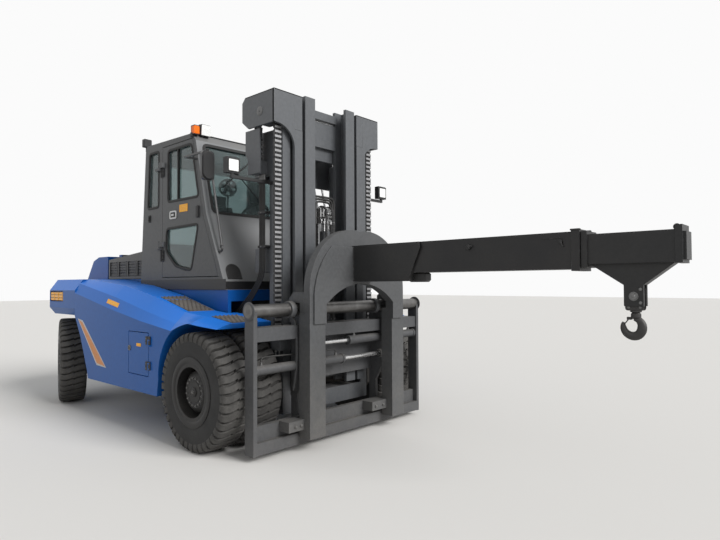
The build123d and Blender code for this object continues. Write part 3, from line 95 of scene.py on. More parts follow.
class Graph:
    """Adds nodes to a node tree and links them."""

    def __init__(self, tree: bpy.types.NodeTree) -> None:
        """Keeps the tree that the nodes go into."""
        self.tree = tree

    def node(self, kind: str, inputs: dict[int | str, object] | None = None, **settings: object) -> bpy.types.Node:
        """Adds one node.

        Args:
            kind: the node's type name.
            inputs: values or output sockets for its input sockets, by name or number.
            settings: the node's own settings.

        Returns:
            The new node.
        """
        new = self.tree.nodes.new(kind)
        for name, value in settings.items():
            setattr(new, name, value)
        self.wire(new, inputs or {})
        return new

    def wire(self, node: bpy.types.Node, inputs: dict[int | str, object]) -> None:
        """Sets a node's inputs to values, or links sockets to them."""
        for socket, value in inputs.items():
            if isinstance(value, bpy.types.NodeSocket):
                self.tree.links.new(value, node.inputs[socket])
            else:
                node.inputs[socket].default_value = value

    def position(self) -> Socket:
        """Returns the shaded point's place in the truck's frame."""
        return self.node("ShaderNodeTexCoord").outputs["Object"]

    def facing(self) -> Socket:
        """Returns the direction that the shaded face looks in."""
        return self.node("ShaderNodeNewGeometry").outputs["Normal"]

    def part(self, vector: Socket, axis: str) -> Socket:
        """Returns a vector's part along one axis."""
        return self.node("ShaderNodeSeparateXYZ", {0: vector}).outputs[axis]

    def bump(self, strength: float, distance: float, height: Socket, **more: Socket) -> Socket:
        """Returns a direction made uneven by a height."""
        inputs = {"Strength": strength, "Distance": distance, "Height": height, **more}
        return self.node("ShaderNodeBump", inputs).outputs[0]

    def calc(self, operation: str, first: object, second: object = 0.0, clamp: bool = False) -> Socket:
        """Returns the result of a maths operation on two values."""
        return self.node("ShaderNodeMath", {0: first, 1: second}, operation=operation, use_clamp=clamp).outputs[0]

    def remap(self, value: Socket, low: float, high: float, to_low: float = 0.0, to_high: float = 1.0) -> Socket:
        """Returns the value carried from one range to another, held at its ends."""
        inputs = {"Value": value, "From Min": low, "From Max": high, "To Min": to_low, "To Max": to_high}
        return self.node("ShaderNodeMapRange", inputs, clamp=True).outputs["Result"]

    def blend(self, mask: object, first: object, second: object, mode: str = "MIX") -> Socket:
        """Returns a colour between two colours, by a mask."""
        inputs = {0: mask, 6: first, 7: second}
        return self.node("ShaderNodeMix", inputs, data_type="RGBA", blend_type=mode).outputs[2]

    def noise(self, place: Socket, scale: float, detail: float = 3.0, roughness: float = 0.55) -> Socket:
        """Returns a cloudy value from 0 to 1."""
        inputs = {"Vector": place, "Scale": scale, "Detail": detail, "Roughness": roughness}
        return self.node("ShaderNodeTexNoise", inputs).outputs["Fac"]


class Group:
    """A shader node group with named inputs and outputs, built once."""

    def __init__(self, name: str, inputs: dict[str, float], outputs: dict[str, str]) -> None:
        """Makes the group's sockets.

        Args:
            name: the group's name.
            inputs: the names of its value inputs and their defaults.
            outputs: the names of its outputs and their socket types.
        """
        self.tree = bpy.data.node_groups.new(name, "ShaderNodeTree")
        self.graph = Graph(self.tree)
        for label, value in inputs.items():
            socket = self.tree.interface.new_socket(label, in_out="INPUT", socket_type="NodeSocketFloat")
            socket.default_value = value
        for label, kind in outputs.items():
            self.tree.interface.new_socket(label, in_out="OUTPUT", socket_type=kind)
        self.inlet = self.tree.nodes.new("NodeGroupInput").outputs
        self.outlet = self.tree.nodes.new("NodeGroupOutput").inputs

    def put(self, label: str, socket: Socket) -> None:
        """Links a socket to one of the group's outputs."""
        self.tree.links.new(socket, self.outlet[label])

    def place(self, graph: Graph, **values: object) -> bpy.types.Node:
        """Places the group in a material, underscores in the names of values standing for spaces."""
        inputs = {name.replace("_", " "): value for name, value in values.items()}
        return graph.node("ShaderNodeGroup", inputs, node_tree=self.tree)


class Effects:
    """The effects that the finishes share."""

    def __init__(self) -> None:
        """Builds each effect's group."""
        self.dust = self.make_dust()
        self.wear = self.make_wear()
        self.peel = self.make_skin("orange_peel", 260.0, 30.0)
        self.grain = self.make_skin("moulded_grain", 900.0, 8.0)
        self.cast = self.make_skin("rolled_skin", 140.0, 12.0)
        self.weave = self.make_weave()
        self.rust = self.make_rust()

    @staticmethod
    def make_dust() -> Group:
        """Dust from the road: thicker low down and on what faces up, in clouds."""
        group = Group("road_dust", {"Low": 0.5, "Upward": 0.3, "Everywhere": 0.1}, {"Mask": "NodeSocketFloat"})
        graph = group.graph
        place = graph.position()
        height = graph.part(place, "Z")
        upward = graph.remap(graph.part(graph.facing(), "Z"), 0.2, 1.0)
        low = graph.remap(height, 1.15, 0.15)
        thick = graph.calc("MULTIPLY", low, group.inlet["Low"])
        lying = graph.calc("MULTIPLY", upward, group.inlet["Upward"])
        amount = graph.calc("ADD", graph.calc("ADD", thick, lying), group.inlet["Everywhere"])
        clouds = graph.remap(graph.noise(place, 3.2, 6.0, 0.62), 0.34, 0.72, 0.35, 1.35)
        specks = graph.remap(graph.noise(place, 55.0, 3.0, 0.7), 0.3, 0.75, 0.65, 1.25)
        group.put("Mask", graph.calc("MULTIPLY", graph.calc("MULTIPLY", amount, clouds), specks, clamp=True))
        return group

    @staticmethod
    def make_wear() -> Group:
        """Edges rounded in the light, and rubbed in places."""
        inputs = {"Radius": 0.004, "Amount": 0.6}
        group = Group("edge_wear", inputs, {"Mask": "NodeSocketFloat", "Normal": "NodeSocketVector"})
        graph = group.graph
        place = graph.position()
        rounded = graph.node("ShaderNodeBevel", {"Radius": group.inlet["Radius"]}, samples=4).outputs["Normal"]
        flat = graph.facing()
        turned = graph.node("ShaderNodeVectorMath", {0: rounded, 1: flat}, operation="DOT_PRODUCT").outputs["Value"]
        edge = graph.remap(turned, 0.985, 0.8)
        patches = graph.remap(graph.noise(place, 14.0, 5.0, 0.7), 0.5, 0.66)
        group.put("Mask", graph.calc("MULTIPLY", graph.calc("MULTIPLY", edge, patches), group.inlet["Amount"]))
        group.put("Normal", rounded)
        return group

    @staticmethod
    def make_skin(name: str, scale: float, broad: float) -> Group:
        """A fine uneven skin, with a broader unevenness under it.

        Args:
            name: the group's name.
            scale: how fine the skin is, per metre.
            broad: how fine the broader unevenness is, per metre.

        Returns:
            A group that puts out a height and a tone.
        """
        group = Group(name, {"Broad": 0.5}, {"Height": "NodeSocketFloat", "Tone": "NodeSocketFloat"})
        graph = group.graph
        place = graph.position()
        fine = graph.noise(place, scale, 2.0, 0.5)
        wide = graph.noise(place, broad, 4.0, 0.6)
        group.put("Height", graph.calc("ADD", fine, graph.calc("MULTIPLY", wide, group.inlet["Broad"])))
        group.put("Tone", graph.remap(wide, 0.3, 0.7))
        return group

    @staticmethod
    def make_weave() -> Group:
        """Plain weave of upholstery cloth."""
        group = Group("seat_weave", {"Threads": 520.0}, {"Height": "NodeSocketFloat", "Tone": "NodeSocketFloat"})
        graph = group.graph
        place = graph.position()
        parts = graph.node("ShaderNodeSeparateXYZ", {0: place}).outputs
        runs = []
        for along in (graph.calc("ADD", parts["X"], parts["Z"]), parts["Y"]):
            angle = graph.calc("MULTIPLY", graph.calc("MULTIPLY", along, group.inlet["Threads"]), 6.28318)
            runs.append(graph.calc("SINE", angle))
        crossed = graph.remap(graph.calc("MULTIPLY", runs[0], runs[1]), -1.0, 1.0)
        fuzz = graph.noise(place, 700.0, 2.0)
        group.put("Height", graph.calc("ADD", crossed, fuzz))
        group.put("Tone", graph.remap(graph.noise(place, 22.0, 4.0), 0.3, 0.7))
        return group

    @staticmethod
    def make_rust() -> Group:
        """Rust in spots and blooms."""
        group = Group("rust_spots", {"Spread": 0.5}, {"Mask": "NodeSocketFloat", "Tone": "NodeSocketFloat"})
        graph = group.graph
        place = graph.position()
        blooms = graph.noise(place, 9.0, 8.0, 0.72)
        limit = graph.remap(group.inlet["Spread"], 0.0, 1.0, 0.74, 0.38)
        over = graph.calc("SUBTRACT", blooms, limit)
        group.put("Mask", graph.calc("MULTIPLY", over, 9.0, clamp=True))
        group.put("Tone", graph.noise(place, 120.0, 3.0))
        return group


@dataclass(frozen=True)
class Finish:
    """What every finish has: a name, its record slot and its main colour."""

    name: str
    slot: str
    colour: Colour

    def start(self) -> tuple[bpy.types.Material, Graph, bpy.types.Node]:
        """Makes an empty material with its shader.

        Returns:
            The material, its graph and its Principled shader.
        """
        material = bpy.data.materials.new(self.name)
        material.use_nodes = True
        material.node_tree.nodes.clear()
        graph = Graph(material.node_tree)
        shader = graph.node("ShaderNodeBsdfPrincipled")
        graph.node("ShaderNodeOutputMaterial", {"Surface": shader.outputs[0]})
        material.diffuse_color = (*self.colour, 1.0)
        return material, graph, shader

    def build(self, effects: Effects) -> bpy.types.Material:
        """Makes the finish's material."""
        raise NotImplementedError


def lit(colour: Colour, factor: float) -> tuple[float, float, float, float]:
    """Returns a colour made lighter or darker, with full alpha."""
    return (*(min(1.0, part * factor) for part in colour), 1.0)


@dataclass(frozen=True)
class Paint(Finish):
    """Sprayed enamel with dust, rubbed edges and a slight orange peel."""

    under: Colour = (0.1, 0.09, 0.085)
    roughness: float = 0.32
    coat: float = 0.25
    low_dust: float = 0.35
    top_dust: float = 0.12
    all_dust: float = 0.03
    dust_colour: Colour = (0.3, 0.27, 0.23)
    wear: float = 0.55
    rust: float = 0.0
    uneven: float = 0.12
    gloss: float = 0.5

    def tone(self, graph: Graph, patches: Socket) -> Socket:
        """Returns the enamel's own colour, uneven in patches."""
        return graph.blend(patches, lit(self.colour, 1 - self.uneven), lit(self.colour, 1 + self.uneven))

    def build(self, effects: Effects) -> bpy.types.Material:
        """Makes the enamel's material."""
        material, graph, shader = self.start()
        skin = effects.peel.place(graph, Broad=0.6).outputs
        wear = effects.wear.place(graph, Radius=0.004, Amount=self.wear).outputs
        dust = effects.dust.place(graph, Low=self.low_dust, Upward=self.top_dust, Everywhere=self.all_dust).outputs
        bared = graph.blend(wear["Mask"], self.tone(graph, skin["Tone"]), (*self.under, 1.0))
        if self.rust > 0:
            rust = effects.rust.place(graph, Spread=self.rust).outputs
            brown = graph.blend(rust["Tone"], (0.09, 0.028, 0.01, 1), (0.2, 0.085, 0.035, 1))
            bared = graph.blend(rust["Mask"], bared, brown)
        graph.wire(shader, {
            "Base Color": graph.blend(dust["Mask"], bared, (*self.dust_colour, 1.0)),
            "Roughness": graph.remap(dust["Mask"], 0.0, 0.6, self.roughness, 0.85),
            "Specular IOR Level": self.gloss,
            "Coat Roughness": 0.12,
            "Coat Weight": graph.remap(dust["Mask"], 0.0, 0.35, self.coat, 0.0),
            "Normal": graph.bump(0.12, 0.0006, skin["Height"], Normal=wear["Normal"]),
        })
        return material


@dataclass(frozen=True)
class BodyPaint(Paint):
    """Enamel of the body, with painted light: a deep blue on upright faces, darker as if in shade, and a clearer blue
    on what faces up, a painted sky sheen.
    """

    # painted highlight: the up-facing faces' paler blue stands in for the sky's sheen on them
    upward: Colour = (0.003, 0.165, 0.66)

    def tone(self, graph: Graph, patches: Socket) -> Socket:
        """Returns the upright faces' colour or the upward faces' painted sky sheen, by how far a face is tipped."""
        upright = super().tone(graph, patches)
        sky_sheen_share = graph.remap(graph.part(graph.facing(), "Z"), 0.12, 0.7)
        return graph.blend(sky_sheen_share, upright, (*self.upward, 1.0))


@dataclass(frozen=True)
class CabPaint(Paint):
    """Enamel of the cab, its sheets that face forward in a lighter grey: a painted highlight of sunlight on them."""

    # painted highlight: forward faces lighter, as if sunlit
    forward: Colour = (0.2, 0.205, 0.21)

    def tone(self, graph: Graph, patches: Socket) -> Socket:
        """Returns the cab's colour or the forward faces' painted sunlit grey."""
        sides = super().tone(graph, patches)
        ahead = graph.remap(graph.part(graph.facing(), "X"), 0.6, 0.9)
        return graph.blend(ahead, sides, (*self.forward, 1.0))


@dataclass(frozen=True)
class BoomPaint(Paint):
    """Enamel of the jib: paler on its dusty legs, and darker from where the boom starts."""

    boom_colour: Colour = (0.015, 0.0152, 0.0165)
    boom_start: float = 0.9025

    def tone(self, graph: Graph, patches: Socket) -> Socket:
        """Returns the legs' colour or the boom's, by the distance along the truck."""
        legs = super().tone(graph, patches)
        place = graph.position()
        along = graph.part(place, "X")
        beyond = graph.remap(along, self.boom_start - 0.002, self.boom_start + 0.002)
        return graph.blend(beyond, legs, (*self.boom_colour, 1.0))


@dataclass(frozen=True)
class Steel(Finish):
    """Bare or blackened metal, with rust and grease in patches."""

    metallic: float = 1.0
    roughness: float = 0.35
    rust: float = 0.15
    low_dust: float = 0.2

    def build(self, effects: Effects) -> bpy.types.Material:
        """Makes the metal's material."""
        material, graph, shader = self.start()
        skin = effects.cast.place(graph, Broad=0.8).outputs
        wear = effects.wear.place(graph, Radius=0.002, Amount=0.4).outputs
        rust = effects.rust.place(graph, Spread=self.rust).outputs
        dust = effects.dust.place(graph, Low=self.low_dust, Upward=0.1, Everywhere=0.02).outputs
        tone = graph.blend(skin["Tone"], lit(self.colour, 0.78), lit(self.colour, 1.2))
        brown = graph.blend(rust["Tone"], (0.075, 0.026, 0.011, 1), (0.19, 0.085, 0.04, 1))
        rusty = graph.blend(rust["Mask"], tone, brown)
        covered = graph.calc("MAXIMUM", rust["Mask"], dust["Mask"])
        graph.wire(shader, {
            "Base Color": graph.blend(dust["Mask"], rusty, (0.27, 0.24, 0.2, 1)),
            "Metallic": graph.remap(covered, 0.0, 0.8, self.metallic, 0.0),
            "Roughness": graph.remap(covered, 0.0, 0.8, self.roughness, 0.85),
            "Normal": graph.bump(0.2, 0.0005, skin["Height"], Normal=wear["Normal"]),
        })
        return material


@dataclass(frozen=True)
class Rubber(Finish):
    """Moulded rubber with road dust rubbed into it."""

    roughness: float = 0.72
    low_dust: float = 0.35
    top_dust: float = 0.15
    all_dust: float = 0.08
    dust_colour: Colour = (0.2, 0.19, 0.175)

    def build(self, effects: Effects) -> bpy.types.Material:
        """Makes the rubber's material."""
        material, graph, shader = self.start()
        skin = effects.grain.place(graph, Broad=1.2).outputs
        dust = effects.dust.place(graph, Low=self.low_dust, Upward=self.top_dust, Everywhere=self.all_dust).outputs
        tone = graph.blend(skin["Tone"], lit(self.colour, 0.8), lit(self.colour, 1.25))
        graph.wire(shader, {
            "Base Color": graph.blend(dust["Mask"], tone, (*self.dust_colour, 1.0)),
            "Roughness": graph.remap(dust["Mask"], 0.0, 0.6, self.roughness, 0.95),
            "Specular IOR Level": 0.3,
            "Normal": graph.bump(0.35, 0.0008, skin["Height"]),
        })
        return material


@dataclass(frozen=True)
class Glass(Finish):
    """Tinted safety glass, a little dusty."""

    def build(self, effects: Effects) -> bpy.types.Material:
        """Makes the glass's material."""
        material, graph, shader = self.start()
        dust = effects.dust.place(graph, Low=0.0, Upward=0.06, Everywhere=0.012).outputs
        graph.wire(shader, {
            "Base Color": graph.blend(dust["Mask"], (*self.colour, 1.0), (0.5, 0.5, 0.48, 1.0)),
            "Roughness": graph.remap(dust["Mask"], 0.0, 0.6, 0.03, 0.35),
            "Transmission Weight": 0.86,
            "IOR": 1.42,
        })
        return material


@dataclass(frozen=True)
class Lens(Finish):
    """Coloured lamp glass with moulded prisms behind its face."""

    roughness: float = 0.12
    prisms: float = 260.0
    coat: float = 0.5

    def build(self, effects: Effects) -> bpy.types.Material:
        """Makes the lens's material."""
        material, graph, shader = self.start()
        place = graph.position()
        cells = graph.node("ShaderNodeTexVoronoi", {"Vector": place, "Scale": self.prisms}).outputs["Distance"]
        graph.wire(shader, {
            "Base Color": graph.blend(graph.remap(cells, 0.1, 0.6), lit(self.colour, 0.75), lit(self.colour, 1.2)),
            "Roughness": self.roughness,
            "Coat Weight": self.coat,
            "Specular IOR Level": 0.3,
            "Normal": graph.bump(0.4, 0.001, cells),
        })
        return material


@dataclass(frozen=True)
class Fabric(Finish):
    """Woven seat cloth, worn paler where it is sat on."""

    def build(self, effects: Effects) -> bpy.types.Material:
        """Makes the cloth's material."""
        material, graph, shader = self.start()
        weave = effects.weave.place(graph, Threads=420.0).outputs
        dust = effects.dust.place(graph, Low=0.0, Upward=0.18, Everywhere=0.05).outputs
        tone = graph.blend(weave["Tone"], lit(self.colour, 0.75), lit(self.colour, 1.3))
        graph.wire(shader, {
            "Base Color": graph.blend(dust["Mask"], tone, (0.16, 0.155, 0.15, 1.0)),
            "Roughness": 0.9,
            "Sheen Weight": 0.25,
            "Normal": graph.bump(0.5, 0.0007, weave["Height"]),
        })
        return material


class Stock:
    """The finishes of the truck, each built when it is first asked for."""

    FINISHES: tuple[Finish, ...] = (
        # the body's blue, with a painted sky sheen on faces that look up and a deeper, shaded blue on upright faces
        BodyPaint(
            "blue_enamel", "paint_blue", (0.004, 0.086, 0.33), roughness=0.34, coat=0.03, low_dust=0.05,
            top_dust=0.02, all_dust=0.004, gloss=0.24, uneven=0.06,
        ),
        # the cab's grey, its forward faces lighter as a painted highlight of sunlight
        CabPaint(
            "cab_grey", "paint_grey", (0.066, 0.068, 0.07), roughness=0.38, coat=0.05, low_dust=0.1, top_dust=0.3,
            gloss=0.3,
        ),
        Paint("cab_black", "paint_grey", (0.016, 0.016, 0.017), roughness=0.35, coat=0.0, low_dust=0.1, gloss=0.35),
        Paint("hood_black", "paint_blue", (0.012, 0.013, 0.015), roughness=0.28, coat=0.1, low_dust=0.05, gloss=0.4),
        Paint(
            "mast_enamel", "mast_grey", (0.076, 0.081, 0.088), roughness=0.42, coat=0.05, rust=0.06, low_dust=0.1,
            top_dust=0.2,
        ),
        Paint(
            "carriage_enamel", "mast_grey", (0.06, 0.062, 0.066), roughness=0.45, coat=0.0, rust=0.08, low_dust=0.08,
            top_dust=0.2, gloss=0.35,
        ),
        # the jib's pale edge lines: partly worn paint and partly a painted highlight on the rounded edges
        BoomPaint(
            "jib_enamel", "jib_grey", (0.07, 0.072, 0.075), roughness=0.42, coat=0.0, rust=0.05, low_dust=0.16,
            top_dust=0.1, gloss=0.28, wear=1.0, under=(0.3, 0.31, 0.32),
        ),
        Paint(
            "boom_enamel", "jib_grey", (0.017, 0.0175, 0.0185), roughness=0.42, coat=0.0, rust=0.03, top_dust=0.1,
            gloss=0.28, wear=0.9, under=(0.13, 0.13, 0.135),
        ),
        Paint(
            "frame_enamel", "frame_black", (0.02, 0.02, 0.021), roughness=0.55, coat=0.0, low_dust=0.35,
            top_dust=0.3, gloss=0.3,
        ),
        Paint(
            "axle_enamel", "axle_black", (0.018, 0.018, 0.019), roughness=0.55, coat=0.0, low_dust=0.35,
            top_dust=0.3, gloss=0.3,
        ),
        Paint("engine_enamel", "engine_grey", (0.1, 0.105, 0.105), roughness=0.5, top_dust=0.3),
        Paint(
            "rim_enamel", "rim_grey", (0.012, 0.012, 0.0125), roughness=0.45, coat=0.0, low_dust=0.05, all_dust=0.01,
            top_dust=0.05, rust=0.1, gloss=0.3,
        ),
        Paint("trim_enamel", "trim_black", (0.016, 0.016, 0.016), roughness=0.5, low_dust=0.2, coat=0.0),
        Paint("rail_enamel", "rail_steel", (0.02, 0.02, 0.022), roughness=0.3),
        Paint("orange_stripe", "paint_blue", (0.62, 0.2, 0.02), roughness=0.35, low_dust=0.25, wear=0.0),
        Paint("white_stripe", "paint_blue", (0.5, 0.5, 0.48), roughness=0.35, low_dust=0.25, wear=0.0),
        Paint("pale_handle", "paint_grey", (0.6, 0.6, 0.58), roughness=0.35),
        Steel("bright_rod", "bright_steel", (0.62, 0.62, 0.62), roughness=0.2, rust=0.03),
        Steel("shaft_bar", "bright_steel", (0.15, 0.147, 0.144), roughness=0.36, rust=0.3),
        Steel("chain_plates", "chain_steel", (0.05, 0.05, 0.051), metallic=0.6, roughness=0.45, rust=0.1),
        # painted highlight: bright bars that stand in for light caught on the chain plates' rounded ends
        Steel("chain_bars", "chain_steel", (0.3, 0.3, 0.305), metallic=0.5, roughness=0.42, rust=0.05),
        Steel("bolt_steel", "bright_steel", (0.16, 0.16, 0.16), metallic=0.8, roughness=0.42, rust=0.18),
        Steel("hook_forging", "hook_steel", (0.045, 0.044, 0.044), metallic=0.6, roughness=0.5, rust=0.2),
        Rubber("tyre_side", "tyre_rubber", (0.02, 0.02, 0.0205), low_dust=0.07, all_dust=0.03),
        Rubber("tyre_tread", "tyre_rubber", (0.026, 0.025, 0.0245), low_dust=0.12, all_dust=0.22),
        Rubber("pad_skin", "pad_rubber", (0.075, 0.062, 0.052), roughness=0.8, top_dust=0.35, all_dust=0.2),
        Rubber("hose_skin", "hose_rubber", (0.02, 0.02, 0.02), roughness=0.5, all_dust=0.08),
        Rubber("seal_rubber", "trim_black", (0.012, 0.012, 0.012), roughness=0.55, low_dust=0.05, all_dust=0.03),
        Rubber("moulded_black", "lamp_plastic", (0.016, 0.016, 0.017), roughness=0.45, all_dust=0.05),
        Glass("tinted_glass", "glass_clear", (0.38, 0.47, 0.47)),
        Lens("amber_lens", "lamp_plastic", (0.8, 0.36, 0.012), coat=0.08),
        Lens("signal_lens", "lamp_plastic", (0.8, 0.15, 0.004), coat=0.08),
        Lens("clear_lens", "lamp_plastic", (0.78, 0.78, 0.76), prisms=160.0),
        Lens("mirror_face", "rail_steel", (0.75, 0.77, 0.78), roughness=0.04, prisms=4.0),
        Fabric("seat_cloth", "seat_fabric", (0.03, 0.031, 0.034)),
    )

    def __init__(self, effects: Effects) -> None:
        """Keeps the effects and an empty shelf of materials."""
        self.effects = effects
        self.finishes = {finish.name: finish for finish in self.FINISHES}
        self.made: dict[str, bpy.types.Material] = {}

    def get(self, name: str) -> bpy.types.Material:
        """Returns the material of a finish by name."""
        if name not in self.made:
            self.made[name] = self.finishes[name].build(self.effects)
        return self.made[name]


class Form:
    """Corners and faces of one piece, gathered before its mesh is made."""

    def __init__(self) -> None:
        """Starts with nothing."""
        self.corners: list[Vector] = []
        self.faces: list[tuple[int, ...]] = []
        self.marks: list[int] = []

    def add(self, corners: Sequence[Sequence[float]], faces: Sequence[Sequence[int]], mark: int = 0) -> None:
        """Adds corners and the faces over them.

        Args:
            corners: the new corners, in metres.
            faces: rows of numbers of these corners.
            mark: the number of the finish in the piece's list.
        """
        start = len(self.corners)
        self.corners += [Vector(corner) for corner in corners]
        self.faces += [tuple(start + k for k in face) for face in faces]
        self.marks += [mark] * len(faces)

    def place(self, other: "Form", matrix: Matrix) -> None:
        """Adds another form's copy, carried by a matrix."""
        start = len(self.corners)
        self.corners += [matrix @ corner for corner in other.corners]
        self.faces += [tuple(start + k for k in face) for face in other.faces]
        self.marks += other.marks

    def rings(
        self, rings: Sequence[Sequence[Vector]], mark: int = 0, closed: bool = False, capped: bool = True,
    ) -> None:
        """Joins rings of corners, one after the other.

        Args:
            rings: rings with the same number of corners each.
            mark: the number of the finish.
            closed: whether the last ring is joined to the first.
            capped: whether the end rings are filled where it isn't closed.
        """
        count = len(rings[0])
        corners = [corner for ring in rings for corner in ring]
        faces = []
        for k in range(len(rings) if closed else len(rings) - 1):
            low, high = k * count, (k + 1) % len(rings) * count
            faces += [(low + i, low + (i + 1) % count, high + (i + 1) % count, high + i) for i in range(count)]
        if capped and not closed:
            faces += [tuple(range(count))[::-1], tuple(range(len(corners) - count, len(corners)))]
        self.add(corners, faces, mark)

    def slab(self, low: Point, high: Point, mark: int = 0, chamfer: float = 0.002) -> None:
        """Adds a block with chamfered edges between two corners."""
        middle = [(a + b) / 2 for a, b in zip(low, high)]
        half = [abs(b - a) / 2 for a, b in zip(low, high)]
        cut = min(chamfer, min(half) * 0.6)
        outline = [(-half[0], -half[1]), (half[0], -half[1]), (half[0], half[1]), (-half[0], half[1])]
        self.prism(corner_cut(outline, cut), Matrix.Translation(middle), -half[2], half[2], mark, cut)

    def prism(
        self, outline: Outline, at: Matrix, bottom: float, top: float, mark: int = 0, chamfer: float = 0.0,
    ) -> None:
        """Adds a plate with an outline, its two ends chamfered.

        Args:
            outline: the plate's corners in the plane across its depth.
            at: carries the plane to its place, its third axis along the depth.
            bottom: where the plate starts along the depth.
            top: where it ends.
            mark: the number of the finish.
            chamfer: the size of the chamfer.
        """
        if chamfer > 0:
            inner = inset(outline, chamfer)
            levels = [(inner, bottom), (outline, bottom + chamfer), (outline, top - chamfer), (inner, top)]
        else:
            levels = [(outline, bottom), (outline, top)]
        self.rings([[at @ Vector((x, y, z)) for x, y in points] for points, z in levels], mark)

    def plate(self, outline: Outline, near: float, far: float, mark: int = 0) -> None:
        """Adds a four-cornered plate, upright along the truck, between two distances from its middle."""
        corners = [(x, y, z) for y in (near, far) for x, z in outline]
        faces = [(0, 1, 2, 3), (7, 6, 5, 4), (0, 4, 5, 1), (1, 5, 6, 2), (2, 6, 7, 3), (3, 7, 4, 0)]
        self.add(corners, faces, mark)

    def lathe(
        self, start: Sequence[float], axis: Sequence[float], profile: Outline, sides: int = 24, mark: int = 0,
        closed: bool = False,
    ) -> None:
        """Adds a turned form about an axis.

        Args:
            start: the point that distances along the axis are counted from.
            axis: the axis's direction.
            profile: rows of distance along the axis and radius.
            sides: the number of corners round it.
            mark: the number of the finish.
            closed: whether the profile closes on itself, as a ring's does.
        """
        at = axis_frame(start, axis)
        self.rings([ring(at, radius, along, sides) for along, radius in profile], mark, closed=closed)

    def rod(self, start: Sequence[float], end: Sequence[float], radius: float, sides: int = 12, mark: int = 0) -> None:
        """Adds a round bar with chamfered ends."""
        along = Vector(end) - Vector(start)
        reach = along.length
        cut = min(radius * 0.25, reach * 0.2)
        profile = [(0, radius - cut), (cut, radius), (reach - cut, radius), (reach, radius - cut)]
        self.lathe(start, along, profile, sides, mark)

    def bolt(self, at: Sequence[float], axis: Sequence[float], across: float, height: float, mark: int = 0) -> None:
        """Adds a hexagon head on its washer, with a domed end of the thread."""
        frame = axis_frame(at, axis)
        radius = across / sqrt(3)
        hexagon = [tuple(polar(radius, pi / 3 * k).xy) for k in range(6)]
        washer = height * 0.22
        self.lathe(at, axis, [(0, across * 0.72), (washer, across * 0.7)], 12, mark)
        self.prism(hexagon, frame, washer * 0.9, height, mark, height * 0.1)
        self.lathe(at, axis, [(height * 0.9, across * 0.27), (height * 1.18, across * 0.2)], 8, mark)


def polar(radius: float, angle: float, along: float = 0.0) -> Vector:
    """Returns a point by its distance and angle about the third axis, and its place along it."""
    return Vector((radius * cos(angle), radius * sin(angle), along))


def ring(at: Matrix, radius: float, along: float, sides: int) -> list[Vector]:
    """Returns the corners round the third axis of a frame, at one place along it."""
    return [at @ polar(radius, tau * k / sides, along) for k in range(sides)]


def torus(at: Matrix, radius: float, thick: float, steps: int, around: int) -> list[list[Vector]]:
    """Returns the rings of a round bar bent in a circle.

    Args:
        at: the frame whose third axis the circle goes round.
        radius: the circle's radius.
        thick: the bar's radius.
        steps: the number of rings.
        around: the number of corners of each.

    Returns:
        The rings, to be joined as a closed row.
    """
    bends = [tau * j / around for j in range(around)]
    section = [(radius + thick * cos(b), thick * sin(b)) for b in bends]
    return [[at @ polar(reach, tau * k / steps, along) for reach, along in section] for k in range(steps)]


def beside(side: int) -> Matrix:
    """Returns the frame that stands plates upright along the truck, their depth going out to one side."""
    return Matrix(((1, 0, 0, 0), (0, 0, side, 0), (0, 1, 0, 0), (0, 0, 0, 1)))


def link(name: str, data: bpy.types.ID) -> bpy.types.Object:
    """Puts an object with this data in the scene."""
    placed = bpy.data.objects.new(name, data)
    bpy.context.scene.collection.objects.link(placed)
    return placed


def corner_cut(outline: Outline, cut: float) -> list[tuple[float, float]]:
    """Returns an outline with its corners cut off."""
    cornered = []
    for k, corner in enumerate(outline):
        here = Vector(corner)
        for other in (outline[k - 1], outline[(k + 1) % len(outline)]):
            away = Vector(other) - here
            cornered.append(tuple(here + away * min(0.4, cut / max(away.length, 1e-9))))
    return cornered


def inset(outline: Outline, distance: float) -> list[tuple[float, float]]:
    """Returns an outline moved inwards by a distance."""
    area = sum(a[0] * b[1] - b[0] * a[1] for a, b in zip(outline, [*outline[1:], outline[0]]))
    turn = 1 if area > 0 else -1
    moved = []
    for k, corner in enumerate(outline):
        before = (Vector(corner) - Vector(outline[k - 1])).normalized()
        after = (Vector(outline[(k + 1) % len(outline)]) - Vector(corner)).normalized()
        inward = Vector((-before.y - after.y, before.x + after.x)) * turn
        scale = distance / max(0.35, (1 + before.dot(after)))
        moved.append((corner[0] + inward.x * scale, corner[1] + inward.y * scale))
    return moved


def axis_frame(start: Sequence[float], axis: Sequence[float], up: Sequence[float] | None = None) -> Matrix:
    """Returns the frame with its third axis along a direction.

    Args:
        start: the frame's origin.
        axis: its third axis.
        up: what its first axis points near to.

    Returns:
        The frame as a matrix.
    """
    third = Vector(axis).normalized()
    near = Vector(up) if up else (Vector(UP) if abs(third.z) < 0.9 else Vector((1, 0, 0)))
    first = (near - third * near.dot(third)).normalized()
    frame = Matrix((first, third.cross(first), third)).transposed().to_4x4()
    frame.translation = Vector(start)
    return frame


def stadium(half: float, radius: float, steps: int = 5, waist: float = 0.0) -> list[tuple[float, float]]:
    """Returns a link plate's outline.

    Args:
        half: half the distance between its two pins.
        radius: the radius of its ends.
        steps: the number of corners on each end.
        waist: how far its middle is pulled in.

    Returns:
        The outline's corners.
    """
    points = []
    for sign in (1, -1):
        for k in range(steps):
            angle = radians(-75 + 150 * k / (steps - 1))
            points.append((sign * (half + radius * cos(angle)), sign * radius * sin(angle)))
        if waist:
            points.append((0.0, sign * (radius - waist)))
    return points


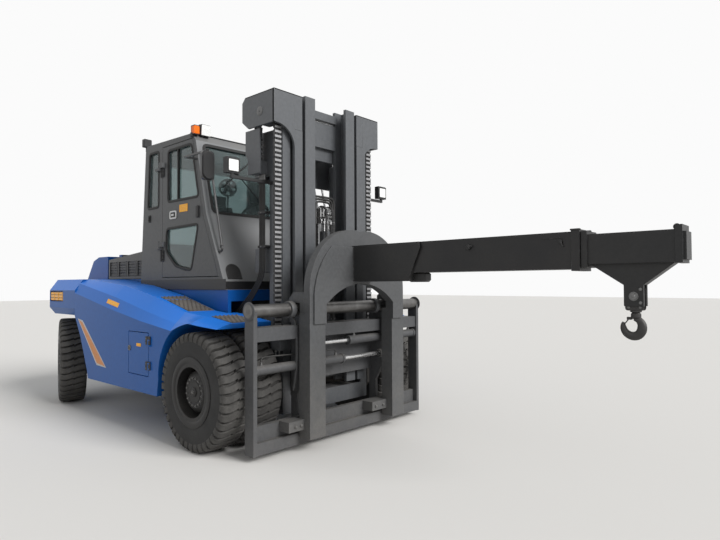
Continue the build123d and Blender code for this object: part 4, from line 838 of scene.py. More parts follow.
class Shop:
    """Makes pieces from forms and dresses the frame's nodes."""

    def __init__(self, frame: dict[str, object], stock: Stock) -> None:
        """Keeps the frame and the finishes."""
        self.frame = frame
        self.stock = stock

    def finish(self, piece: bpy.types.Object, finishes: Sequence[str], body: str) -> bpy.types.Object:
        """Gives a piece its finishes and body."""
        for name in finishes:
            piece.data.materials.append(self.stock.get(name))
        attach(piece, body)
        log.info("%s rides on %s", piece.name, body)
        return piece

    def make(
        self, name: str, form: Form, finishes: Sequence[str], body: str, replaces: Sequence[str] = (),
        sharp: float = 34.0,
    ) -> bpy.types.Object:
        """Makes a form's mesh object.

        Args:
            name: the piece's name.
            form: its corners and faces.
            finishes: the names of its finishes, by mark.
            body: the body it rides on.
            replaces: the nodes it stands for.
            sharp: the angle in degrees above which an edge stays sharp.

        Returns:
            The new object.
        """
        mesh = bpy.data.meshes.new(name)
        mesh.from_pydata([tuple(corner) for corner in form.corners], [], form.faces)
        mesh.polygons.foreach_set("material_index", form.marks)
        shaped = bmesh.new()
        shaped.from_mesh(mesh)
        bmesh.ops.recalc_face_normals(shaped, faces=shaped.faces)
        shaped.to_mesh(mesh)
        shaped.free()
        mesh.shade_smooth()
        mesh.set_sharp_from_angle(angle=radians(sharp))
        piece = link(name, mesh)
        self.finish(piece, finishes, body)
        if replaces:
            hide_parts(*replaces)
        return piece

    def hose(
        self, name: str, lines: Sequence[Sequence[Point]], radius: float, finish: str, body: str,
        replaces: Sequence[str] = (),
    ) -> bpy.types.Object:
        """Makes fixed hydraulic lines as smooth curves.

        Args:
            name: the piece's name.
            lines: the control points of each line.
            radius: the radius of the lines.
            finish: the name of their finish.
            body: the body they ride on.
            replaces: the nodes they stand for.

        Returns:
            The new curve object.
        """
        curve = bpy.data.curves.new(name, "CURVE")
        curve.dimensions = "3D"
        curve.bevel_depth = radius
        curve.bevel_resolution = 3
        curve.use_fill_caps = True
        curve.resolution_u = 8
        for points in lines:
            spline = curve.splines.new("NURBS")
            spline.points.add(len(points) - 1)
            for point, place in zip(spline.points, points):
                point.co = (*place, 1.0)
            spline.order_u = 3
            spline.use_endpoint_u = True
        piece = link(name, curve)
        self.finish(piece, [finish], body)
        if replaces:
            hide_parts(*replaces)
        return piece

    def bent_hose(
        self, name: str, lines: Sequence[Sequence[Point]], radius: float, finish: str, bodies: tuple[str, str],
        start: Point, end: Point, replaces: Sequence[str],
    ) -> bpy.types.Object:
        """Makes hydraulic lines across a joint as one fixed mesh, which rides on no body and does not bend.

        Args:
            name: the piece's name.
            lines: the control points of each line.
            radius: the radius of the lines.
            finish: the name of their finish.
            bodies: the bodies of the two ends; only the first is read, to draw the lines, and the piece follows
                neither.
            start: not used.
            end: not used.
            replaces: the nodes they stand for.

        Returns:
            The new mesh object.
        """
        drawn = self.hose(f"{name}_path", lines, radius, finish, bodies[0])
        drawn.parent = None
        mesh = bpy.data.meshes.new_from_object(drawn)
        bpy.data.objects.remove(drawn)
        piece = link(name, mesh)
        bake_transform(piece)
        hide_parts(*replaces)
        return piece

    def dress(self, node: str, finish: str) -> None:
        """Gives a node of the frame its material."""
        piece = self.frame["nodes"][node]
        if not piece.material_slots:
            piece.data.materials.append(None)
        for slot in piece.material_slots:
            slot.material = self.stock.get(finish)
        log.info("%s has %s", node, finish)


@dataclass
class Stage:
    """The floor, the lamps, the plain surroundings and the camera."""

    eye: Point = (4.6631, -4.2403, 1.575)
    yaw: float = 131.7844
    pitch: float = 1.4636
    roll: float = -0.2554
    lens: float = 27.604
    ambient: float = 0.46
    floor_colour: Colour = (0.72, 0.7, 0.67)

    def camera(self) -> None:
        """Sets the camera where the picture was taken from."""
        yaw, pitch, roll = (radians(a) for a in (self.yaw, self.pitch, self.roll))
        ahead = Vector((cos(yaw) * cos(pitch), sin(yaw) * cos(pitch), sin(pitch)))
        right = ahead.cross(Vector(UP)).normalized()
        up = right.cross(ahead)
        rolled = right * cos(roll) + up * sin(roll)
        raised = up * cos(roll) - right * sin(roll)
        data = bpy.data.cameras.new("view")
        data.sensor_width = 36.0
        data.lens = self.lens
        data.clip_end = 200.0
        camera = link("view", data)
        matrix = Matrix((rolled, raised, -ahead)).transposed().to_4x4()
        matrix.translation = Vector(self.eye)
        camera.matrix_world = matrix
        bpy.context.scene.camera = camera

    def floor(self) -> None:
        """Lays a plain pale floor."""
        mesh = bpy.data.meshes.new("floor")
        mesh.from_pydata([(-60, -60, 0), (60, -60, 0), (60, 60, 0), (-60, 60, 0)], [], [(0, 1, 2, 3)])
        floor = link("floor", mesh)
        material = bpy.data.materials.new("pale_floor")
        material.use_nodes = True
        shader = material.node_tree.nodes["Principled BSDF"]
        shader.inputs["Base Color"].default_value = (*self.floor_colour, 1.0)
        shader.inputs["Roughness"].default_value = 0.9
        shader.inputs["Specular IOR Level"].default_value = 0.2
        mesh.materials.append(material)

    def sun(self, name: str, toward: Point, power: float, spread: float) -> None:
        """Hangs a soft far lamp.

        Args:
            name: the lamp's name.
            toward: the direction from the truck to the lamp.
            power: how strong it is.
            spread: how wide it looks from the truck, in degrees, which softens its shadows.
        """
        data = bpy.data.lights.new(name, "SUN")
        data.energy = power
        data.angle = radians(spread)
        link(name, data).matrix_world = axis_frame(toward, toward)

    def light(self) -> None:
        """Sets plain soft light and a white background."""
        world = bpy.data.worlds.new("studio")
        bpy.context.scene.world = world
        world.use_nodes = True
        world.node_tree.nodes.clear()
        graph = Graph(world.node_tree)
        path = graph.node("ShaderNodeLightPath").outputs
        seen = graph.calc(
            "MAXIMUM", path["Is Camera Ray"],
            graph.calc("MAXIMUM", path["Is Glossy Ray"], path["Is Transmission Ray"]),
        )
        ambient = graph.node("ShaderNodeBackground", {"Color": (0.94, 0.97, 1.0, 1.0), "Strength": self.ambient})
        shown = graph.node("ShaderNodeBackground", {"Color": (1.0, 1.0, 1.0, 1.0), "Strength": 0.965})
        mixed = graph.node("ShaderNodeMixShader", {0: seen, 1: ambient.outputs[0], 2: shown.outputs[0]})
        graph.node("ShaderNodeOutputWorld", {"Surface": mixed.outputs[0]})
        self.sun("key_lamp", (0.84, 0.12, 0.53), 3.2, 28.0)
        self.sun("fill_lamp", (0.35, -0.8, 0.5), 0.25, 60.0)

    def build(self) -> None:
        """Sets the whole stage."""
        self.camera()
        self.floor()
        self.light()
        bpy.context.scene.view_settings.view_transform = "Standard"


@dataclass
class Wheels:
    """Tyres with their lugs, and the fasteners on the rims."""

    shop: Shop
    pitch_count: int = 40
    carcass_sides: int = 96
    flange_sides: int = 72
    wave: float = 0.34
    front_centre_y: float = 0.9125
    twin_gap: float = 0.355
    rear_axle_x: float = -3.32
    rear_offset: tuple[float, float] = (0.0612, 1.1983)
    rear_out: tuple[float, float] = (0.309, 0.9511)
    side_profile: tuple[tuple[float, float], ...] = (
        (0.126, 0.2545), (0.1335, 0.27), (0.1392, 0.288), (0.144, 0.302), (0.1475, 0.31), (0.15, 0.318),
        (0.1488, 0.326), (0.1515, 0.34), (0.1545, 0.36), (0.157, 0.387), (0.156, 0.42), (0.1535, 0.45),
        (0.15, 0.478), (0.1455, 0.503), (0.139, 0.516), (0.125, 0.523), (0.09, 0.525),
    )
    lug_stations: tuple[tuple[float, float, float, float], ...] = (
        (0.0, 0.523, 0.0, 0.5625), (0.045, 0.523, 0.045, 0.5625), (0.09, 0.522, 0.092, 0.5622),
        (0.122, 0.519, 0.128, 0.559), (0.137, 0.512, 0.1455, 0.546), (0.144, 0.503, 0.1545, 0.522),
        (0.148, 0.486, 0.156, 0.498), (0.149, 0.472, 0.151, 0.478),
    )

    def carcass(self, form: Form, at: Matrix) -> None:
        """Adds a tyre's smooth body, its walls one finish and its crown another."""
        full = [(-along, r) for along, r in self.side_profile] + [*reversed(self.side_profile)]
        rings = [ring(at, r, along, self.carcass_sides) for along, r in full]
        form.rings(rings[:14], 0, capped=False)
        form.rings(rings[13:21], 1, capped=False)
        form.rings(rings[20:] + rings[:1], 0, capped=False)

    def lug(self) -> Form:
        """Returns one lug on one half of the tread, about angle nought."""
        form = Form()
        pitch = tau / self.pitch_count
        rings = []
        for base_a, base_r, top_a, top_r in self.lug_stations:
            shift = pitch * self.wave * max(0.0, 1 - base_a / 0.07)
            foot, tip = (base_r, base_a), (top_r, top_a)
            section = ((-0.39, foot), (-0.33, tip), (0.33, tip), (0.39, foot))
            rings.append([polar(radius, shift + pitch * share, along) for share, (radius, along) in section])
        form.rings(rings, 1)
        return form

    def tyre(self, form: Form, at: Matrix) -> None:
        """Adds a tyre about the third axis of a frame."""
        self.carcass(form, at)
        lug = self.lug()
        pitch = tau / self.pitch_count
        for k in range(self.pitch_count):
            form.place(lug, at @ Matrix.Rotation(k * pitch, 4, "Z"))
            form.place(lug, at @ Matrix.Rotation((k + 0.5) * pitch, 4, "Z") @ Matrix.Diagonal((1, -1, -1, 1)))

    def fasteners(
        self, form: Form, at: Matrix, radius: float, along: float, count: int, across: float, height: float,
    ) -> None:
        """Adds a ring of nuts on a rim.

        Args:
            form: what they are added to.
            at: the wheel's frame, its third axis outward.
            radius: the ring's radius.
            along: how far out their faces are.
            count: how many there are.
            across: their size across flats.
            height: how far they stand out.
        """
        out = at.to_3x3() @ Vector(UP)
        for k in range(count):
            form.bolt(at @ polar(radius, tau * (k + 0.5) / count, along), out, across, height)

    def flange(self, form: Form, at: Matrix, mark: int) -> None:
        """Adds the rolled edge of a rim, outside a tyre's bead."""
        profile = [
            (0.1435, 0.272), (0.15, 0.268), (0.156, 0.276), (0.1595, 0.292), (0.1605, 0.314), (0.156, 0.332),
            (0.1495, 0.33),
        ]
        turns = [tau * k / self.flange_sides for k in range(self.flange_sides)]
        rings = [[at @ polar(radius, turn, along) for along, radius in profile] for turn in turns]
        form.rings(rings, mark, closed=True)

    def front(self, side: Side) -> None:
        """Builds one front wheel pair's tyres and fasteners."""
        name = side.label
        at = axis_frame((0, side * self.front_centre_y, WHEEL_Z), (0, side, 0), UP)
        form = Form()
        for offset in (0.0, self.twin_gap):
            self.tyre(form, at @ Matrix.Translation((0, 0, offset)))
        self.shop.make(
            f"tyre_pair_{name}", form, ["tyre_side", "tyre_tread"], f"front_wheels_{name}", [f"tyres_front_{name}"],
        )
        nuts = Form()
        self.fasteners(nuts, at, 0.213, 0.335, 20, 0.024, 0.02)
        self.fasteners(nuts, at, 0.13, 0.465, 16, 0.016, 0.01)
        out = at.to_3x3() @ Vector(UP)
        hub = at @ Vector((0, 0, 0.465))
        nuts.lathe(hub, out, [(0, 0.105), (0.004, 0.103), (0.004, 0.045), (0.012, 0.043), (0.016, 0.034)], 32, 1)
        nuts.bolt(hub + out * 0.016, out, 0.022, 0.01)
        self.flange(nuts, at @ Matrix.Translation((0, 0, self.twin_gap)), 1)
        valve = at @ Vector((0.226, 0, 0.335))
        nuts.rod(valve, valve + out * 0.055, 0.005, 8)
        self.shop.make(f"hub_fasteners_{name}", nuts, ["bolt_steel", "rim_enamel"], f"front_wheels_{name}")

    def rear(self, side: Side) -> None:
        """Builds one rear wheel's tyre and fasteners, turned as it is parked."""
        name = side.label
        x, y = self.rear_axle_x + side * self.rear_offset[0], side * self.rear_offset[1]
        at = axis_frame((x, y, WHEEL_Z), (side * self.rear_out[0], side * self.rear_out[1], 0), UP)
        form = Form()
        self.tyre(form, at)
        self.shop.make(
            f"tyre_single_{name}", form, ["tyre_side", "tyre_tread"], f"rear_wheel_{name}", [f"tyre_rear_{name}"],
        )
        nuts = Form()
        self.fasteners(nuts, at, 0.165, 0.092, 10, 0.03, 0.026)
        self.fasteners(nuts, at, 0.058, 0.15, 6, 0.014, 0.008)
        self.flange(nuts, at, 1)
        self.shop.make(f"rear_fasteners_{name}", nuts, ["bolt_steel", "rim_enamel"], f"rear_wheel_{name}")

    def build(self) -> None:
        """Builds all the wheels."""
        for build in (self.front, self.rear):
            for side in Side:
                build(side)
        for name in ("rims_front_right", "rims_front_left", "rim_rear_right", "rim_rear_left"):
            self.shop.dress(name, "rim_enamel")


@dataclass
class Body:
    """Side boxes, counterweight, hood and what is screwed to them."""

    shop: Shop
    side_y: float = 1.42
    hinge_heights: tuple[float, float] = (0.737, 0.998)
    sections: tuple[tuple[float, float, float, float], ...] = (
        (-2.72, 1.478, 1.6, 1.652), (-1.71, 1.302, 1.44, 1.57), (-0.99, 1.194, 1.3, 1.45),
        (-0.375, 1.122, 1.19, 1.3), (0.0, 1.205, 1.235, 1.268), (0.385, 1.16, 1.185, 1.215),
    )
    pads: tuple[tuple[float, float], ...] = ((-0.96, -0.86), (-0.825, -0.39), (0.02, 0.36))

    def stripe(self) -> None:
        """Lays a plain two-coloured stripe on each side box."""
        form = Form()
        edge = [(-2.62, 1.16), (-2.47, 1.14), (-1.8, 0.62), (-2.06, 0.63)]
        for side in Side:
            for mark, outline in ((1, edge), (0, inset(edge, 0.022))):
                depth = self.side_y + 0.0006 + 0.0005 * (1 - mark)
                form.plate(outline, side * depth, side * (self.side_y - 0.002), mark)
        self.shop.make("side_stripes", form, ["orange_stripe", "white_stripe"], "chassis")

    def lockers(self) -> None:
        """Adds the hinges, locks and small reflectors of the side doors."""
        hinges = Form()
        for side in Side:
            form = Form()
            out = (0, side, 0)
            for z in self.hinge_heights:
                form.slab((-0.846, side * 1.421, z - 0.044), (-0.8, side * 1.436, z + 0.044), 1, 0.003)
                for dz in (-0.022, 0.022):
                    form.bolt((-0.824, side * 1.4355, z + dz), out, 0.012, 0.006)
            lock = Vector((-1.222, side * 1.4205, 0.896))
            form.lathe(lock, out, [(0.0, 0.03), (0.006, 0.03), (0.009, 0.026), (0.009, 0.019), (0.005, 0.017)], 28)
            form.lathe(lock, out, [(0.002, 0.015), (0.006, 0.015), (0.007, 0.012)], 20, 1)
            form.slab((-1.062, side * 1.42, 0.924), (-0.966, side * 1.425, 0.958), 2)
            self.shop.make(
                f"locker_lock_{side.label}", form, ["bolt_steel", "moulded_black", "amber_lens"],
                f"side_door_{side.label}",
            )
            for z in self.hinge_heights:
                hinges.slab((-0.797, side * 1.4195, z - 0.044), (-0.758, side * 1.434, z + 0.044), 0, 0.003)
                hinges.rod((-0.7985, side * 1.429, z - 0.034), (-0.7985, side * 1.429, z + 0.034), 0.0065, 10)
        self.shop.make("locker_hinges", hinges, ["moulded_black"], "chassis")

    def deck(self) -> None:
        """Adds studs on the deck's pads, and the reflectors on the sloping bands."""
        studs = Form()
        for x_low, x_high in self.pads:
            for row in range(int((x_high - x_low - 0.024) / 0.045) + 1):
                x = x_low + 0.02 + row * 0.045
                z = self.levels(x)[2] + 0.0115
                for column in range(6):
                    y = 0.93 + column * 0.048 + 0.024 * (row % 2)
                    for side in Side:
                        studs.lathe((x, side * y, z - 0.002), UP, [(0, 0.0095), (0.004, 0.0085), (0.006, 0.005)], 8)
        self.shop.make("pad_studs", studs, ["pad_skin"], "chassis")
        marks = Form()
        slope = Vector((0, 0.138, 0.058)).normalized()
        for side in Side:
            normal = Vector((0, side * slope.y, slope.z)) * 0.004
            upright = Vector((0, -side * slope.z, slope.y)) * 0.026
            ends = [Vector((x, side * 1.391, sum(self.levels(x)[:2]) / 2)) for x in (-1.84, -1.56)]
            marks.rings(
                [[end - upright, end - upright + normal, end + upright + normal, end + upright] for end in ends]
            )
        self.shop.make("band_reflectors", marks, ["amber_lens"], "chassis")

    def levels(self, x: float) -> list[float]:
        """Returns the heights of the panel's top, the band's top and the deck at a distance along the truck."""
        pairs = zip(self.sections, self.sections[1:])
        left, right = next(pair for pair in pairs if pair[0][0] <= x <= pair[1][0])
        share = (x - left[0]) / (right[0] - left[0])
        return [a + share * (b - a) for a, b in zip(left[1:], right[1:])]

    def hood(self) -> None:
        """Adds dark framed panels over the hood's louvres, their screws, the handles, and the sills below."""
        rear, front, low, sill, head = -3.275, -2.118, 1.672, 1.7, 1.895
        near, far = 0.7445, 0.7485
        holes = [(-3.225 + 0.272 * k, -3.0 + 0.272 * k) for k in range(4)]
        edges = [rear, *(x for hole in holes for x in hole), front]
        strips = [
            (rear, low, front, sill), *((left, sill, right, head) for left, right in zip(edges[::2], edges[1::2])),
        ]
        blade = [(0.7375, 0.0), (0.747, -0.004), (0.748, -0.001), (0.7385, 0.006)]
        form, sills = Form(), Form()
        for side in Side:
            for x0, z0, x1, z1 in strips:
                form.slab((x0, side * near, z0), (x1, side * far, z1), 0, 0.001)
            form.plate([(rear, head), (front, head), (front, 1.988), (rear, 1.915)], side * near, side * far)
            for left, right in holes:
                for k in range(11):
                    section = [(side * y, 1.706 + k * 0.0175 + z) for y, z in blade]
                    form.rings([[Vector((x, y, z)) for y, z in section] for x in (left, right)])
                rim = (
                    (left - 0.008, left, 1.692, 1.903), (right, right + 0.008, 1.692, 1.903),
                    (left, right, 1.692, 1.7), (left, right, 1.895, 1.903),
                )
                for x0, x1, z0, z1 in rim:
                    form.slab((x0, side * 0.745, z0), (x1, side * 0.7525, z1), 0, 0.0015)
                for x in (left - 0.018, right + 0.018):
                    for z in (1.712, 1.882):
                        form.bolt((x, side * 0.748, z), (0, side, 0), 0.01, 0.005, 1)
            handle = corner_cut([(-0.05, -0.018), (0.05, -0.018), (0.05, 0.018), (-0.05, 0.018)], 0.006)
            at = axis_frame((-2.17, side * 0.745, 1.8), (0, side, 0), UP)
            form.prism(handle, at, 0.003, 0.016, 0, 0.003)
            sills.slab((-3.2, side * 0.705, 1.5), (-2.07, side * 0.738, 1.6565), 0, 0.004)
        self.shop.make("hood_louvres", form, ["hood_black", "bolt_steel"], "engine_hood")
        self.shop.make("hood_sills", sills, ["blue_enamel"], "chassis")

    def lamps(self) -> None:
        """Builds the lamps in the rear wings' recesses and the beacon on the roof."""
        lamps = Form()
        for side in Side:
            lamps.slab((-3.545, side * 1.396, 1.37), (-3.118, side * 1.412, 1.492), 0, 0.004)
            for k in range(3):
                x = -3.538 + k * 0.14
                lamps.slab((x, side * 1.404, 1.376), (x + 0.128, side * 1.4185, 1.486), 1, 0.005)
                for z in (1.41, 1.45):
                    lamps.slab((x + 0.004, side * 1.404, z - 0.0035), (x + 0.124, side * 1.4195, z + 0.0035), 0, 0.001)
        lamps.lathe((-1.15, -0.6, 3.309), UP, [(0, 0.06), (0.022, 0.06), (0.026, 0.056)], 32)
        lamps.lathe(
            (-1.15, -0.6, 3.333), UP, [(0, 0.052), (0.05, 0.05), (0.072, 0.042), (0.084, 0.026), (0.0865, 0.008)],
            32, 1,
        )
        lamps.slab((-1.22, -0.67, 3.2985), (-1.08, -0.53, 3.3105))
        self.shop.make("lamp_sets", lamps, ["moulded_black", "amber_lens"], "chassis", ["lamps"])

    def build(self) -> None:
        """Builds the body's pieces and dresses its nodes."""
        self.stripe()
        self.lockers()
        self.deck()
        self.hood()
        self.lamps()
        for node in ("side_bodies", "counterweight", "side_door_right", "side_door_left", "cab_base"):
            self.shop.dress(node, "blue_enamel")
        self.shop.dress("engine_hood", "hood_black")
        self.shop.dress("step_pads", "pad_skin")
        self.shop.dress("rear_grille", "trim_enamel")


@dataclass
class Cab:
    """The cab's seals, door furniture, lamps, mirrors and what is inside it."""

    shop: Shop
    half: float = 0.88
    hinge_heights: tuple[float, float] = (1.925, 2.94)

    def gasket(
        self, form: Form, outline: Outline, side: int, width: float, low: float, high: float, mark: int = 0,
    ) -> None:
        """Adds a rubber frame round a window in a cab side.

        Args:
            form: what it is added to.
            outline: the window's corners, along and up.
            side: -1 for the right of the cab and 1 for the left.
            width: how wide the rubber is.
            low: its inner face's distance from the middle.
            high: its outer face's distance from the middle.
            mark: the number of its finish.
        """
        wide = inset(outline, -width * 0.55)
        small = inset(outline, width * 0.45)
        shape = ((0.0, low), (0.0, high - 0.003), (0.3, high), (0.7, high), (1.0, high - 0.003), (1.0, low))
        rings = []
        for a, b in zip(wide, small):
            rings.append([
                Vector((a[0] * (1 - share) + b[0] * share, side * y, a[1] * (1 - share) + b[1] * share))
                for share, y in shape
            ])
        form.rings(rings, mark, closed=True)

    def door(self, side: Side) -> None:
        """Builds one door's seals, lock, hinges and reflector."""
        form = Form()
        upper = rounded([(-1.4, 2.56), (-0.74, 2.56), (-0.885, 3.17), (-1.4, 3.17)], 0.05)
        lower = rounded([(-1.44, 1.97), (-1.43, 2.24), (-0.745, 2.25), (-0.885, 1.74), (-1.22, 1.795)], 0.06)
        for outline in (upper, lower):
            self.gasket(form, outline, side, 0.03, self.half - 0.006, self.half + 0.006)
        form.slab((-1.188, side * (self.half - 0.03), 2.562), (-1.168, side * (self.half + 0.004), 3.168), 0, 0.003)
        for z in self.hinge_heights:
            form.slab(
                (-1.519, side * (self.half - 0.001), z - 0.068), (-1.481, side * (self.half + 0.013), z + 0.068), 1,
                0.004,
            )
            for dz in (-0.045, 0.0, 0.045):
                form.bolt((-1.497, side * (self.half + 0.0125), z + dz), (0, side, 0), 0.012, 0.006)
        plate = [(-1.338, 2.358), (-1.208, 2.358), (-1.208, 2.434), (-1.338, 2.434)]
        self.gasket(form, rounded(plate, 0.018), side, 0.018, self.half - 0.001, self.half + 0.012, 2)
        form.slab((-1.33, side * (self.half - 0.001), 2.366), (-1.216, side * (self.half + 0.003), 2.426), 1)
        form.slab((-1.31, side * (self.half + 0.002), 2.384), (-1.255, side * (self.half + 0.01), 2.41), 2, 0.003)
        form.slab((-0.768, side * (self.half - 0.001), 2.322), (-0.722, side * (self.half + 0.022), 2.455), 1, 0.006)
        form.slab((-1.136, side * (self.half - 0.001), 2.414), (-0.962, side * (self.half + 0.005), 2.502), 3)
        pieces = ["seal_rubber", "moulded_black", "pale_handle", "amber_lens"]
        self.shop.make(f"door_furniture_{side.label}", form, pieces, f"door_{side.label}")

    def shell(self) -> None:
        """Adds the seals of the fixed windows, the dark sill, small handles, a hose opening drawn as a flat black plate
        that stands in for the shade inside it, and the wiper.
        """
        form = Form()
        quarter = rounded([(-1.885, 2.52), (-1.62, 2.52), (-1.62, 3.2), (-1.845, 3.2)], 0.04)
        for side in Side:
            self.gasket(form, quarter, side, 0.03, self.half - 0.006, self.half + 0.006)
            form.slab(
                (-2.055, side * (self.half - 0.002), 1.521), (-0.218, side * (self.half + 0.003), 1.636), 1, 0.001,
            )
            form.slab((-1.856, side * (self.half - 0.001), 2.35), (-1.812, side * (self.half + 0.01), 2.437), 0, 0.004)
            form.rod(
                (-1.834, side * (self.half + 0.014), 2.365), (-1.834, side * (self.half + 0.014), 2.422), 0.007, 10,
            )
            for z in self.hinge_heights:
                form.slab(
                    (-1.563, side * (self.half - 0.001), z - 0.068), (-1.526, side * (self.half + 0.011), z + 0.068),
                    0, 0.004,
                )
                form.rod(
                    (-1.5225, side * (self.half + 0.012), z - 0.066),
                    (-1.5225, side * (self.half + 0.012), z + 0.066), 0.009, 10,
                )
        form.slab((-0.219, -self.half, 1.521), (-0.2165, self.half, 1.61), 1, 0.0005)
        front = [(-0.79, 2.38), (0.79, 2.38), (0.79, 3.16), (-0.79, 3.16)]
        rear = [(-0.7, 2.1), (0.7, 2.1), (0.7, 3.12), (-0.7, 3.12)]
        for outline, face, sign in ((front, self.screen_x, 1), (rear, self.back_x, -1)):
            edge = rounded(outline, 0.06)
            wide, small = inset(edge, -0.018), inset(edge, 0.014)
            rings = []
            for a, b in zip(wide, small):
                rings.append([
                    Vector((face(a[1]) - sign * 0.004, a[0], a[1])), Vector((face(a[1]) + sign * 0.006, a[0], a[1])),
                    Vector((face(b[1]) + sign * 0.006, b[0], b[1])), Vector((face(b[1]) - sign * 0.01, b[0], b[1])),
                ])
            form.rings(rings, 0, closed=True)
        form.rod((-0.872, -0.82, 3.292), (-0.872, 0.82, 3.292), 0.008, 10)
        normal = Vector((1, 0, 0.2503)).normalized()
        root = Vector((self.screen_x(2.355) + 0.004, 0.05, 2.355))
        tip = Vector((self.screen_x(2.86), -0.4, 2.86)) + normal * 0.03
        form.rod(root - normal * 0.01, root + normal * 0.035, 0.018, 14)
        form.rod(root + normal * 0.028, tip, 0.006, 8)
        across = Vector((0.0, 0.62, 0.55)).normalized()
        blade = (across - normal * across.dot(normal)).normalized() * 0.27
        form.rod(tip - normal * 0.014 - blade, tip - normal * 0.014 + blade, 0.007, 8)
        # hose opening: a flat black plate and dark rim, painted shade where there is a recess
        lower = axis_frame((-0.2674, -0.7275, 1.642), (0.9143, 0, 0.405), (-0.405, 0, 0.9143))
        shaded_opening = [(0.0, 0.086), (0.0, -0.086)] + [
            (0.085 + 0.08 * sin(pi * k / 10), -0.086 * cos(pi * k / 10)) for k in range(11)
        ]
        form.prism(shaded_opening, lower, -0.004, 0.0016, 0)
        rings = []
        for wide, small in zip(inset(shaded_opening, -0.006), inset(shaded_opening, 0.006)):
            rings.append(
                [
                    lower @ Vector((*wide, -0.002)), lower @ Vector((*wide, 0.004)), lower @ Vector((*small, 0.004)),
                    lower @ Vector((*small, 0.0)),
                ]
            )
        form.rings(rings, 1, closed=True)
        self.shop.make("cab_trim", form, ["seal_rubber", "cab_black"], "chassis")

    def screen_x(self, z: float) -> float:
        """Returns how far forward the windscreen's face is at a height."""
        return -0.589 - (z - 2.357) * 0.2503

    def back_x(self, z: float) -> float:
        """Returns how far forward the cab's rear face is at a height."""
        return -2.054 + (z - 1.63) * 0.0681

    def roof_lamps(self) -> None:
        """Builds the work lamps and turn lamps at the roof's corners."""
        form = Form()
        for side in Side:
            middle = side * 0.745
            form.slab((-0.88, middle - 0.05, 3.262), (-0.83, middle + 0.05, 3.29), 0, 0.003)
            square = rounded([(-0.065, -0.065), (0.065, -0.065), (0.065, 0.065), (-0.065, 0.065)], 0.016, 4)
            face = axis_frame((-0.8, middle, 3.33), (1, 0, -0.1), UP)
            form.prism(square, face, -0.07, 0.0, 0, 0.008)
            form.prism(inset(square, 0.006), face, -0.004, 0.004, 1, 0.002)
            outer = side * 0.862
            form.slab((-0.88, outer - 0.04, 3.24), (-0.835, outer + 0.012, 3.292), 0, 0.003)
            form.slab((-0.88, outer - 0.034, 3.262), (-0.804, outer + 0.034, 3.374), 0, 0.006)
            form.slab((-0.868, outer - 0.037, 3.268), (-0.798, outer + 0.037, 3.368), 2, 0.01)
            rear = side * 0.835
            form.slab((-2.0, rear - 0.02, 3.262), (-1.88, rear + 0.02, 3.29), 0, 0.003)
            form.slab((-2.0, rear - 0.02, 3.262), (-1.976, rear + 0.02, 3.33), 0, 0.003)
            back = axis_frame((-2.035, rear, 3.372), (-1, 0, 0), UP)
            form.prism(square, back @ Matrix.Scale(0.8, 4), -0.075, 0.0, 0, 0.008)
            form.prism(inset(square, 0.012), back @ Matrix.Scale(0.8, 4), -0.004, 0.005, 1, 0.002)
        self.shop.make("roof_lamps", form, ["moulded_black", "clear_lens", "signal_lens"], "chassis")

    def fan(self) -> None:
        """Builds the small fan on its stem behind the windscreen."""
        form = Form()
        hub = Vector((-0.812, -0.445, 2.715))
        axis = Vector((-0.85, 0.5, 0.05)).normalized()
        at = axis_frame(hub, axis, UP)
        for along, radius, thick in (
            (-0.022, 0.088, 0.004), (0.0, 0.101, 0.006), (0.022, 0.088, 0.004), (0.027, 0.045, 0.003),
            (-0.027, 0.045, 0.003),
        ):
            form.rings(torus(at @ Matrix.Translation((0, 0, along)), radius, thick, 28, 4), 0, closed=True)
        for k in range(16):
            a = tau * k / 16
            for sign in (-1, 1):
                form.rod(at @ polar(0.03, a, sign * 0.029), at @ polar(0.1, a, sign * 0.004), 0.0024, 5)
        form.lathe(hub - axis * 0.04, axis, [(0, 0.022), (0.012, 0.03), (0.055, 0.032), (0.07, 0.026)], 20)
        for k in range(5):
            a = tau * k / 5
            turn = at @ Matrix.Rotation(a, 4, "Z") @ Matrix.Rotation(radians(24), 4, "X")
            form.prism(
                [(0.024, -0.014), (0.084, -0.034), (0.092, 0.0), (0.08, 0.032), (0.024, 0.012)], turn, -0.0015,
                0.0015, 0,
            )
        form.rod(hub - axis * 0.01 - Vector((0, 0, 0.105)), (hub.x - 0.01, hub.y, 2.236), 0.008, 10)
        form.rod(hub - Vector((0, 0, 0.135)), hub - Vector((0, 0, 0.095)), 0.013, 12)
        self.shop.make("cab_fan", form, ["moulded_black"], "chassis")

    def mirrors(self) -> None:
        """Adds the mirrors' faces, seams and clamps."""
        form = Form()
        for side in Side:
            face = axis_frame((-0.362, side * 1.02, 2.82), (-1, 0, 0), UP)
            oval = corner_cut(
                corner_cut([(-0.145, -0.068), (0.145, -0.068), (0.145, 0.068), (-0.145, 0.068)], 0.04), 0.012,
            )
            form.prism(inset(oval, 0.008), face, -0.001, 0.0015, 1, 0.0006)
            form.prism(oval, face @ Matrix.Translation((0, 0, -0.046)), -0.004, 0.016, 0, 0.006)
            form.rod((-0.357, side * 0.84, 1.97), (-0.349, side * 0.84, 2.0), 0.017)
            form.lathe((-0.346, side * 1.02, 2.965), UP, [(0, 0.018), (0.03, 0.018), (0.033, 0.014)], 14, 0)
        self.shop.make("mirror_faces", form, ["moulded_black", "mirror_face"], "chassis")

